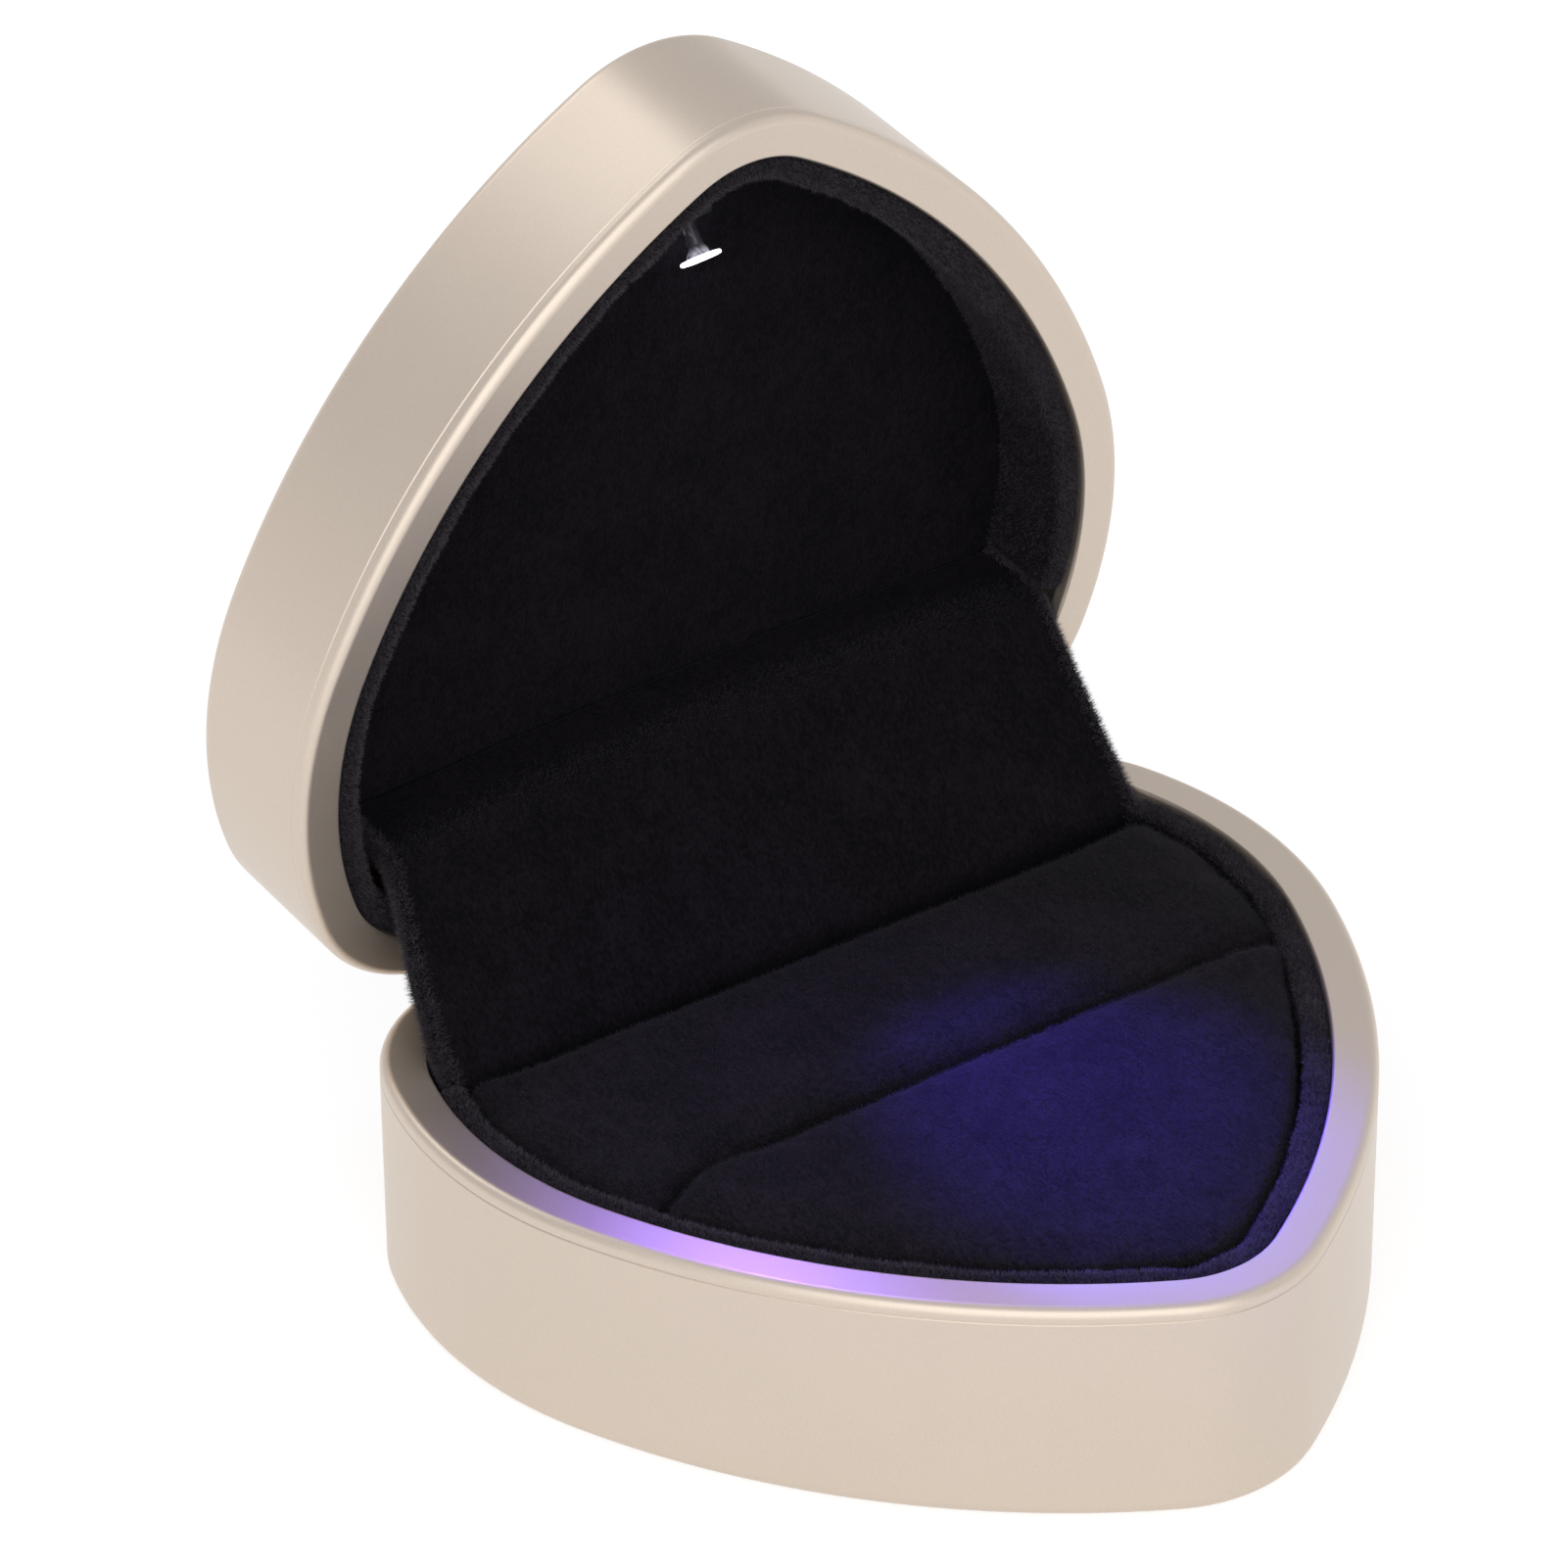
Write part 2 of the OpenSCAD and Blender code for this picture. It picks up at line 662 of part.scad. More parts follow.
base_shell();
base_frame();
base_liner();
base_tray();
ring_pad_front();
ring_pad_rear();
hinge_leaf_base();
hinge_pin();
hinge_screws_base();
snap_spring();
tray_screws();
hinge_flap();
lid_shell();
lid_frame();
lid_liner();
lid_panel();
hinge_leaf_lid();
hinge_screws_lid();
circuit_board();
cell_holder();
coin_cell();
cell_clip();
resistor();
switch_body();
led_mount();
led_leads();
led_lens();
switch_plunger();
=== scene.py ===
import json
import logging
import math
from dataclasses import dataclass, field
from enum import Enum
from functools import lru_cache
from typing import Any, Callable, ClassVar, Optional, Sequence, Union

import bpy
import numpy as np
from bpy.types import Material, Mesh, Object
from mathutils import Matrix


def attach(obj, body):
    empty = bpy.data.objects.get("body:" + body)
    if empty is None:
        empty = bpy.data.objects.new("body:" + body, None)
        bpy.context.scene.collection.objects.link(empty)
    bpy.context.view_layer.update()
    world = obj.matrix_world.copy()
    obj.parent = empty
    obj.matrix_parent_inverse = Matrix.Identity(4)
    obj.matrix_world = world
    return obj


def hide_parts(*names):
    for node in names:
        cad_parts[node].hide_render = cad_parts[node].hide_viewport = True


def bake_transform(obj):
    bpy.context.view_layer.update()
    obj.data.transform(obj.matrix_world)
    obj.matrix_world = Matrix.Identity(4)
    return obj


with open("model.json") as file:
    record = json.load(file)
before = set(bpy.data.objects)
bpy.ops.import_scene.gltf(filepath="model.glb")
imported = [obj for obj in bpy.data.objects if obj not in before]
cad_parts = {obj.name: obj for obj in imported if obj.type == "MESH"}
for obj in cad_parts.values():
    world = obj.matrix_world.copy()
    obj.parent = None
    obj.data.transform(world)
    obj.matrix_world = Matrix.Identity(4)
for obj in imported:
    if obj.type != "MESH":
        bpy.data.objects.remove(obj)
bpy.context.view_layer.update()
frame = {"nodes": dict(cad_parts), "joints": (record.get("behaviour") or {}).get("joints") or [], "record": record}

LOG = logging.getLogger("ring_box")
MM = 0.001                    # sizes below are in millimetres, meshes in metres
SHARP = 38.0                  # degrees past which an edge of a moulding shades sharp
RISE = "rise"                 # attribute: how far along the lamp's stem a point lies, from 0 to 1
Array = np.ndarray
Number = Union[int, float]
Pair = tuple[float, float]
Triple = tuple[float, float, float]


# ---------------------------------------------------------------- outline and placing

def polar(origin: Array, reach: float, angle: float) -> Array:
    """A point at a distance and direction from another."""
    return origin + reach * np.array([math.cos(angle), math.sin(angle)])


def eased(share: Array) -> Array:
    """A share from 0 to 1 made to start and end softly: 3 s squared less 2 s cubed."""
    return share * share * (3 - 2 * share)


def distances(line: Array) -> Array:
    """How far along a line each of its points lies."""
    return np.concatenate([[0], np.cumsum(np.linalg.norm(np.diff(line, axis=0), axis=1))])


def at_steps(line: Array, run: Array) -> Array:
    """The points of a flat line at given distances along it."""
    return np.stack([np.interp(run, distances(line), line[:, k]) for k in (0, 1)], 1)


@dataclass(frozen=True)
class Rail:
    """Points along the heart's outline, each with the arc it lies on."""

    centre: Array  # centres of the arcs, one row a point
    radius: Array  # radii of the arcs
    sense: Array  # 1 where the outline bulges out, -1 where it is hollow
    aim: Array  # unit directions from the arc's centre to the point

    def inset(self, depth: Union[Number, Array]) -> Array:
        """Points a depth in from the outline: centre + (radius - sense x depth) x aim, along the last axis."""
        reach = self.radius - self.sense * depth
        return self.centre + reach[..., None] * self.aim


@dataclass(frozen=True)
class HeartOutline:
    """The closed line of tangent arcs that both halves share, even about x = 0. Its ends of arcs are in degrees."""

    width: float = 85.0
    tip_r: float = 13.8
    lobe_r: float = 36.6
    shoulder_r: float = 14.5
    tip_end: float = -60.1
    side_end: float = -21.7
    lobe_end: float = 20.0
    shoulder_end: float = 116.0

    def arcs(self) -> Array:
        """Works out the right half's arcs, from the tip round to the hollow at the back.

        Each arc's centre lies on the last one's end radius, so the arcs are tangent. The side's radius
        follows from the width, and the hollow's from its centre being on x = 0.

        Returns:
            One row an arc: centre x, centre y, radius, first and last angle, sense.
        """
        tip, side, lobe, shoulder = np.radians([self.tip_end, self.side_end, self.lobe_end, self.shoulder_end])
        half = self.width / 2 - self.lobe_r * (1 - math.cos(side)) - self.tip_r * math.cos(tip)
        side_r = half / (math.cos(side) - math.cos(tip))
        side_c = polar(np.zeros(2), self.tip_r - side_r, tip)
        lobe_c = polar(side_c, side_r - self.lobe_r, side)
        shoulder_c = polar(lobe_c, self.lobe_r - self.shoulder_r, lobe)
        half_depth = (shoulder_c[1] + self.shoulder_r + self.tip_r) / 2
        rise = np.array([0.0, self.tip_r - half_depth])
        hollow_r = -shoulder_c[0] / math.cos(shoulder) - self.shoulder_r
        hollow_c = polar(shoulder_c, self.shoulder_r + hollow_r, shoulder)
        return np.array([
            [*rise, self.tip_r, -math.pi / 2, tip, 1],
            [*(side_c + rise), side_r, tip, side, 1],
            [*(lobe_c + rise), self.lobe_r, side, lobe, 1],
            [*(shoulder_c + rise), self.shoulder_r, lobe, shoulder, 1],
            [*(hollow_c + rise), hollow_r, shoulder + math.pi, 1.5 * math.pi, -1],
        ])

    def starts(self) -> Array:
        """How far along the right half each arc starts, and where the last one ends."""
        arcs = self.arcs()
        return np.concatenate([[0], np.cumsum(arcs[:, 2] * np.abs(arcs[:, 4] - arcs[:, 3]))])

    def half_length(self) -> float:
        """The length of the right half's line."""
        return float(self.starts()[-1])

    def rail(self, run: Array) -> Rail:
        """Finds points by their distance along the line.

        Args:
            run: distances from the tip, positive round the right half, negative round the left.

        Returns:
            The rail through those points.
        """
        arcs, starts, far = self.arcs(), self.starts(), np.abs(run)
        which = np.clip(np.searchsorted(starts, far, side="right") - 1, 0, len(arcs) - 1)
        arc = arcs[which]
        angle = arc[:, 3] + (far - starts[which]) / arc[:, 2] * np.sign(arc[:, 4] - arc[:, 3])
        hand = np.where(run < 0, -1.0, 1.0)
        return Rail(
            centre=np.stack([arc[:, 0] * hand, arc[:, 1]], 1),
            radius=arc[:, 2],
            sense=arc[:, 5],
            aim=np.stack([np.cos(angle) * hand, np.sin(angle)], 1),
        )

    def loop(self, count: int) -> Rail:
        """A rail once round the whole heart, evenly spaced."""
        length = self.half_length()
        return self.rail(np.linspace(-length, length, count, endpoint=False))

    def run_at(self, y: float, inset: float) -> float:
        """How far along the right half an inset line comes to a given y.

        Args:
            y: the place across the box.
            inset: distance of the line from the outline.

        Returns:
            The distance along the outline, 0 where y lies before the tip.
        """
        run = np.linspace(0, self.half_length(), 4000)
        height = self.rail(run).inset(inset)[:, 1]
        top = int(height.argmax()) + 1
        return float(np.interp(y, height[:top], run[:top]))


@dataclass(frozen=True)
class Swing:
    """The turn of the lid about the hinge pin, from shut to open."""

    pin_y: float
    pin_z: float
    angle: float

    def opened(self, points: Array) -> Array:
        """Turns points of the shut lid about the pin's line, to where they are when it is open.

        Args:
            points: x, y and z on the last axis.

        Returns:
            The turned points.
        """
        y, z = points[..., 1] - self.pin_y, points[..., 2] - self.pin_z
        c, s = math.cos(self.angle), math.sin(self.angle)
        return np.stack([points[..., 0], self.pin_y + y * c + z * s, self.pin_z - y * s + z * c], -1)


@dataclass(frozen=True)
class Half:
    """One half of the box, with its own frame: x and y as when shut, and depth in from its rim face."""

    body: str  # the CAD body it rides on
    height: float  # from rim face to outer face
    rim_z: float  # height of the rim face when shut
    sense: float  # -1 where depth goes down, 1 where it goes up
    swing: Optional[Swing] = None  # the turn to the open place, or None

    def place(self, points: Array) -> Array:
        """Puts points of the half's own frame where they lie in the open box."""
        shut = np.stack([points[..., 0], points[..., 1], self.rim_z + self.sense * points[..., 2]], -1)
        return self.swing.opened(shut) if self.swing else shut

    def ends(self, middle: Sequence[float], depths: Sequence[float]) -> dict[str, Array]:
        """The two poles that close a surface, over one place of the plan, at its first and last depth."""
        first, last = (self.place(np.array([*middle, depth])) for depth in depths)
        return {"first": first, "last": last}

    def out(self) -> Array:
        """The direction out of the half's rim face, in the open box."""
        return self.place(np.array([0, 0, -1.0])) - self.place(np.zeros(3))


def stacked(plan: Array, depth: Union[Number, Array]) -> Array:
    """Adds a third number to points of the plan."""
    return np.concatenate([plan, np.broadcast_to(depth, plan.shape[:-1])[..., None]], -1)


def eased_path(corners: Sequence[Pair], radii: Sequence[float], closed: bool, steps: int = 8) -> Array:
    """A line of straight runs with its corners rounded off by arcs.

    A corner between unit directions a and b with turn t starts its arc r x tan(t / 2) before the
    corner, and each arc has a near point on both sides, so that flat faces shade flat.

    Args:
        corners: the corner points.
        radii: the radius at each corner, 0 for a sharp one.
        closed: whether the line runs back to its start.
        steps: segments to an arc.

    Returns:
        The points of the line.
    """
    points, line = np.asarray(corners, float), []
    for i, (corner, r) in enumerate(zip(points, radii)):
        if r <= 0 or (not closed and i in (0, len(points) - 1)):
            line.append(corner[None])
            continue
        a = corner - points[i - 1]
        b = points[(i + 1) % len(points)] - corner
        a, b = a / np.linalg.norm(a), b / np.linalg.norm(b)
        turn = math.acos(float(np.clip(a @ b, -1, 1)))
        cut = r * math.tan(turn / 2)
        side = math.copysign(1.0, a[0] * b[1] - a[1] * b[0])
        centre = corner - a * cut + side * r * np.array([-a[1], a[0]])
        begin = math.atan2(*(corner - a * cut - centre)[::-1])
        angles = begin + side * np.linspace(0, turn, steps + 1)
        arc = centre + r * np.stack([np.cos(angles), np.sin(angles)], 1)
        near = min(0.04, 0.3 * r)
        line += [(arc[0] - a * near)[None], arc, (arc[-1] + b * near)[None]]
    return np.concatenate(line)


def waves(points: Array, reach: float, seed: int, count: int = 7) -> Array:
    """Slow unevenness between -1 and 1: a mean of sines in random directions, about a given length long.

    Args:
        points: where it is wanted.
        reach: the wave length.
        seed: start of the random draws.
        count: how many sines.

    Returns:
        One value a point.
    """
    rng = np.random.default_rng(seed)
    aims = rng.normal(size=(count, points.shape[-1]))
    aims /= np.linalg.norm(aims, axis=1, keepdims=True)
    lengths = reach * rng.uniform(0.6, 1.5, count)
    phase = points @ (2 * math.pi * aims / lengths[:, None]).T + rng.uniform(0, 2 * math.pi, count)
    return np.sin(phase).mean(-1) * 1.8


# ---------------------------------------------------------------- meshes

def make_mesh(name: str, points: Array, faces: Sequence[Array], sharp: Optional[float] = None) -> Mesh:
    """Makes a mesh of points and faces, turned so that a closed one faces outwards.

    Args:
        name: the mesh's name.
        points: vertices in millimetres.
        faces: arrays of vertex numbers, one array for each number of corners.
        sharp: angle in degrees past which an edge shades sharp, or None.

    Returns:
        The mesh, in metres.
    """
    volume = sum(
        np.einsum("ij,ij->", points[f[:, 0]], np.cross(points[f[:, k]], points[f[:, k + 1]]))
        for f in faces for k in range(1, f.shape[1] - 1))
    listed = [row for f in faces for row in (f if volume > 0 else f[:, ::-1]).tolist()]
    mesh = bpy.data.meshes.new(name)
    mesh.from_pydata((points * MM).tolist(), [], listed)
    shade_smooth(mesh)
    if sharp is not None:
        mesh.set_sharp_from_angle(angle=math.radians(sharp))
    mesh.update()
    return mesh


def shade_smooth(mesh: Mesh) -> None:
    """Shades every face smooth."""
    mesh.polygons.foreach_set("use_smooth", np.ones(len(mesh.polygons), bool))


def corner_array(mesh: Mesh) -> Array:
    """Reads a mesh's vertices.

    Args:
        mesh: the mesh, in metres.

    Returns:
        One row a vertex, in millimetres.
    """
    flat = np.empty(len(mesh.vertices) * 3)
    mesh.vertices.foreach_get("co", flat)
    return flat.reshape(-1, 3) / MM


def move_corners(mesh: Mesh, points: Array) -> None:
    """Puts a mesh's vertices at points in millimetres."""
    mesh.vertices.foreach_set("co", (points * MM).ravel())


def baked(obj: Object) -> Mesh:
    """The object's mesh as its modifiers leave it, as a new mesh."""
    bpy.context.view_layer.update()
    return bpy.data.meshes.new_from_object(obj.evaluated_get(bpy.context.evaluated_depsgraph_get()))


def apply_modifiers(obj: Object) -> None:
    """Puts what the modifiers make into the mesh itself, and removes them.

    Args:
        obj: the piece.
    """
    mesh = baked(obj)
    obj.modifiers.clear()
    obj.data = mesh


def new_object(name: str, data: bpy.types.ID) -> Object:
    """Adds an object to the scene.

    Args:
        name: its name.
        data: its mesh, light or camera.

    Returns:
        The object.
    """
    obj = bpy.data.objects.new(name, data)
    bpy.context.scene.collection.objects.link(obj)
    return obj


@dataclass
class Surface:
    """A grid of points in millimetres, joined round its columns, that becomes a mesh."""

    points: Array  # rows x columns x 3
    along: bool = False  # whether the last row joins the first
    first: Optional[Array] = None  # a point that closes the first row, if any
    last: Optional[Array] = None  # a point that closes the last row, if any

    def faces(self) -> list[Array]:
        """Joins the grid.

        Returns:
            The grid's quads, and the fans of triangles round its poles.
        """
        rows, columns = self.points.shape[:2]
        i, j = np.meshgrid(np.arange(rows if self.along else rows - 1), np.arange(columns), indexing="ij")
        i, j = i.ravel(), j.ravel()
        below, right = (i + 1) % rows, (j + 1) % columns
        found = [np.stack([i * columns + j, i * columns + right, below * columns + right, below * columns + j], 1)]
        ring, after = np.arange(columns), (np.arange(columns) + 1) % columns
        pole = rows * columns
        if self.first is not None:
            found.append(np.stack([after, ring, np.full(columns, pole)], 1))
            pole += 1
        if self.last is not None:
            start = (rows - 1) * columns
            found.append(np.stack([start + ring, start + after, np.full(columns, pole)], 1))
        return found

    def mesh(self, name: str, sharp: Optional[float] = None) -> Mesh:
        """Makes the mesh, in metres and facing outwards. Edges past an angle in degrees shade sharp."""
        poles = [p[None] for p in (self.first, self.last) if p is not None]
        return make_mesh(name, np.concatenate([self.points.reshape(-1, 3), *poles]), self.faces(), sharp)


def capped(points: Array) -> Surface:
    """A tube of rings with both ends closed at the rings' middles."""
    return Surface(points, first=points[0].mean(0), last=points[-1].mean(0))


# ---------------------------------------------------------------- shader maths

Value = Union["Socket", float, Sequence[float]]
Inputs = dict[Union[int, str], Value]


class Socket:
    """An output in a shader's tree. Arithmetic on it adds Math nodes."""

    def __init__(self, shader: "Shader", socket: bpy.types.NodeSocket) -> None:
        """Wraps one output of one shader."""
        self.shader = shader
        self.socket = socket

    def _math(self, operation: str, first: Value, second: Value) -> "Socket":
        """Adds a Math node."""
        return self.shader.add("ShaderNodeMath", {"operation": operation}, {0: first, 1: second})

    def __add__(self, other: Value) -> "Socket":
        """Sum."""
        return self._math("ADD", self, other)

    def __sub__(self, other: Value) -> "Socket":
        """Difference."""
        return self._math("SUBTRACT", self, other)

    def __rsub__(self, other: Value) -> "Socket":
        """Difference from a number."""
        return self._math("SUBTRACT", other, self)

    def __mul__(self, other: Value) -> "Socket":
        """Product."""
        return self._math("MULTIPLY", self, other)

    __radd__, __rmul__ = __add__, __mul__

    def clamped(self) -> "Socket":
        """The value held between 0 and 1."""
        return self.shader.add("ShaderNodeClamp", {}, {0: self})


class Shader:
    """The node tree of one material, or of the surroundings."""

    def __init__(self, owner: Union[Material, bpy.types.World], output: str = "ShaderNodeOutputMaterial") -> None:
        """Starts an empty tree with an output.

        Args:
            owner: the material or world.
            output: the type of the output node.
        """
        owner.use_nodes = True
        self.owner = owner
        self.tree = owner.node_tree
        self.tree.nodes.clear()
        self.output = self.tree.nodes.new(output)

    @classmethod
    def named(cls, name: str) -> "Shader":
        """A shader on a new material."""
        return cls(bpy.data.materials.new(name))

    def add(self, kind: str, settings: dict[str, Any], values: Inputs, out: Union[int, str] = 0) -> Socket:
        """Adds a node.

        Args:
            kind: the node's type.
            settings: its properties, set first.
            values: what its inputs are set to or linked from, by name or number. A colour has three numbers.
            out: the output wanted, by name or number.

        Returns:
            That output.
        """
        node = self.tree.nodes.new(kind)
        for key, value in settings.items():
            setattr(node, key, value)
        for key, value in values.items():
            if isinstance(value, Socket):
                self.tree.links.new(value.socket, node.inputs[key])
            else:
                node.inputs[key].default_value = (*value, 1.0) if node.inputs[key].type == "RGBA" else value
        return Socket(self, node.outputs[out])

    def place(self, stretch: Triple = (1, 1, 1)) -> Socket:
        """Object coordinates in millimetres, stretched along x, y and z."""
        coords = self.add("ShaderNodeTexCoord", {}, {}, "Object")
        return self.add("ShaderNodeMapping", {}, {"Vector": coords, "Scale": [s / MM for s in stretch]})

    def noise(self, place: Socket, size: float, detail: float = 2.0) -> Socket:
        """Soft noise between 0 and 1, with lumps of about a size in millimetres."""
        return self.add("ShaderNodeTexNoise", {"noise_dimensions": "3D"},
                        {"Vector": place, "Scale": 1 / size, "Detail": detail, "Roughness": 0.55})

    def mix(self, factor: Value, first: Value, second: Value) -> Socket:
        """Mixes two colours."""
        return self.add("ShaderNodeMix", {"data_type": "RGBA"}, {0: factor, 6: first, 7: second}, 2)

    def bump(self, height: Socket, distance: float, strength: float = 1.0, normal: Optional[Socket] = None) -> Socket:
        """Adds a Bump node.

        Args:
            height: between 0 and 1.
            distance: what a height of 1 stands for, in millimetres.
            strength: share of the effect.
            normal: an earlier Bump node's output that this one adds to, if any.

        Returns:
            The bumped normal.
        """
        below: Inputs = {} if normal is None else {"Normal": normal}
        return self.add("ShaderNodeBump", {}, {
            "Height": height, "Strength": strength, "Distance": distance * MM, **below})

    def close(self, surface: Socket) -> None:
        """Ends the tree."""
        self.tree.links.new(surface.socket, self.output.inputs["Surface"])

    def principled(self, values: Inputs) -> Material:
        """Ends the tree in a Principled shader with these inputs."""
        self.close(self.add("ShaderNodeBsdfPrincipled", {}, values))
        return self.owner


# ---------------------------------------------------------------- finishes

class Slot(Enum):
    """The record's material slots."""

    GOLD = "gold_lacquer"
    VELVET = "velvet"
    PLASTIC = "black_plastic"
    STEEL = "steel"
    BOARD = "board_green"
    LAMP = "lamp_white"


def toned(colour: Triple, share: float) -> Triple:
    """A colour made darker or lighter by a share."""
    return tuple(min(1.0, share * c) for c in colour)


@dataclass(frozen=True)
class GoldLacquer:
    """Champagne metallic lacquer: fine flakes in a tinted coat, under a clear one, with a trace of orange peel."""

    slot: ClassVar[Slot] = Slot.GOLD
    colour: Triple = (0.688, 0.589, 0.492)
    flake: float = 0.11
    peel: float = 1.6
    roughness: float = 0.42

    def material(self) -> Material:
        """Builds the material: the flakes and slow clouds vary colour and roughness, flakes and peel the normal.

        Returns:
            The material.
        """
        sh = Shader.named("champagne_lacquer")
        spot = sh.place()
        flakes, cloud = sh.noise(spot, self.flake, 1.0), sh.noise(spot, 9.0)
        shade = ((flakes - 0.5) * 0.8 + (cloud - 0.5) * 0.12 + 0.5).clamped()
        return sh.principled({
            "Base Color": sh.mix(shade, toned(self.colour, 0.84), toned(self.colour, 1.10)),
            "Metallic": 0.84,
            "Roughness": self.roughness + (flakes - 0.5) * 0.10 + (cloud - 0.5) * 0.08,
            "Coat Weight": 0.18, "Coat Roughness": 0.14, "Coat IOR": 1.45,
            "Normal": sh.bump(sh.noise(spot, self.peel, 1.0), 0.0035, 1.0, sh.bump(flakes, 0.0016)),
        })


@dataclass(frozen=True)
class Velvet:
    """Black plush velvet: dark ground, soft sheen from the tips of the pile, and lay marks."""

    slot: ClassVar[Slot] = Slot.VELVET
    name: str
    colour: Triple = (0.0036, 0.0030, 0.0040)  # the ground's colour
    tip: Triple = (0.0145, 0.0122, 0.0155)  # the colour of the pile's tips
    sheen: float = 0.035
    gloss: float = 0.12  # level of the highlights
    roughness: float = 0.95
    nap: Triple = (1, 1, 1)  # how the pile's pattern is stretched along x, y and z

    def material(self) -> Material:
        """Builds the material: single fibres, tufts and brushed marks, each a noise of its own size.

        Returns:
            The material.
        """
        sh = Shader.named(self.name)
        spot, lay = sh.place(), sh.place(self.nap)
        pile, tufts, marks = sh.noise(lay, 0.24), sh.noise(lay, 0.9), sh.noise(spot, 6.0)
        shade = ((pile - 0.5) * 2.6 + (tufts - 0.5) * 1.0 + (marks - 0.5) * 0.9 + 0.42).clamped()
        return sh.principled({
            "Base Color": sh.mix(shade, self.colour, self.tip),
            "Roughness": self.roughness, "Specular IOR Level": self.gloss,
            "Sheen Weight": self.sheen, "Sheen Roughness": 0.42, "Sheen Tint": (0.75, 0.68, 0.82),
            "Normal": sh.bump(tufts, 0.12, 0.5, sh.bump(pile, 0.10, 0.8)),
        })


@dataclass(frozen=True)
class Plated:
    """Plated steel, brushed along the box's width and a little stained."""

    slot: ClassVar[Slot] = Slot.STEEL
    colour: Triple = (0.56, 0.56, 0.57)

    def material(self) -> Material:
        """Builds the material.

        Returns:
            The material.
        """
        sh = Shader.named("plated_steel")
        brush, stain = sh.noise(sh.place((0.05, 1, 1)), 0.12, 3.0), sh.noise(sh.place(), 2.5)
        return sh.principled({
            "Base Color": sh.mix(((stain - 0.4) * 0.8).clamped(), self.colour, toned(self.colour, 0.8)),
            "Metallic": 1.0, "Roughness": 0.22 + brush * 0.16 + stain * 0.08,
            "Normal": sh.bump(brush, 0.004),
        })


@dataclass(frozen=True)
class Moulded:
    """Moulded black plastic with a fine spark-eroded grain and slow scuffs."""

    slot: ClassVar[Slot] = Slot.PLASTIC
    colour: Triple = (0.005, 0.005, 0.006)

    def material(self) -> Material:
        """Builds the material.

        Returns:
            The material.
        """
        sh = Shader.named("moulded_black")
        grain, scuff = sh.noise(sh.place(), 0.16, 3.0), sh.noise(sh.place(), 3.0, 3.0)
        return sh.principled({
            "Base Color": sh.mix(((scuff - 0.5) * 1.4).clamped(), self.colour, toned(self.colour, 1.9)),
            "Roughness": 0.62 + grain * 0.12 + scuff * 0.06, "Specular IOR Level": 0.2,
            "Normal": sh.bump(grain, 0.01, 0.7),
        })


@dataclass(frozen=True)
class SolderMask:
    """A green circuit board with the ghost of its tracks under the mask."""

    slot: ClassVar[Slot] = Slot.BOARD
    colour: Triple = (0.02, 0.12, 0.05)
    track: Triple = (0.04, 0.20, 0.09)

    def material(self) -> Material:
        """Builds the material.

        Returns:
            The material.
        """
        sh = Shader.named("solder_mask")
        tracks = sh.add("ShaderNodeTexBrick", {"offset": 0.5}, {
            "Vector": sh.place(), "Scale": 0.35, "Mortar Size": 0.12, "Mortar Smooth": 0.3}, 1)
        grain = sh.noise(sh.place(), 0.4)
        return sh.principled({
            "Base Color": sh.mix((tracks * 0.8 + grain * 0.2).clamped(), self.colour, self.track),
            "Roughness": 0.25 + grain * 0.15, "Normal": sh.bump(tracks, 0.03, 0.6),
        })


@dataclass(frozen=True)
class LitFace:
    """The lamp's lit face: white, with a trace of blue."""

    slot: ClassVar[Slot] = Slot.LAMP
    colour: Triple = (0.9, 0.92, 1.0)
    glow: float = 6.0

    def material(self) -> Material:
        """Builds the material.

        Returns:
            The material.
        """
        sh = Shader.named("lit_face")
        haze = sh.noise(sh.place(), 1.2, 1.0)
        return sh.principled({
            "Base Color": self.colour, "Roughness": 0.25 + haze * 0.1,
            "Emission Color": sh.mix(haze, (0.80, 0.78, 1.0), (1.0, 1.0, 1.0)), "Emission Strength": self.glow,
        })


@dataclass(frozen=True)
class FrostedStem:
    """The frosted stem behind the lit face, with a painted glint of the lamp's light on it: glowing streaks that fade
    on the way up.
    """

    slot: ClassVar[Slot] = Slot.LAMP
    colour: Triple = (0.035, 0.032, 0.04)
    # strength of the painted glint's glow
    glow: float = 0.5

    def material(self) -> Material:
        """Builds the material.

        Returns:
            The material.
        """
        sh = Shader.named("frosted_stem_painted_glint")
        rise = sh.add("ShaderNodeAttribute", {"attribute_name": RISE}, {}, "Fac")
        streak = sh.noise(sh.place((1.0, 0.3, 0.15)), 0.35, 1.0)
        # painted glint: the lamp's light on the stem, given as emission and a paler colour, fading up the stem
        painted_glint = ((streak - 0.35) * 2.4 * (1.0 - rise * 3.0)).clamped()
        return sh.principled({
            "Base Color": sh.mix(painted_glint, self.colour, (0.85, 0.84, 0.92)), "Roughness": 0.18 + streak * 0.15,
            "Emission Color": sh.mix(painted_glint, (0, 0, 0), (0.9, 0.88, 1.0)), "Emission Strength": self.glow,
        })


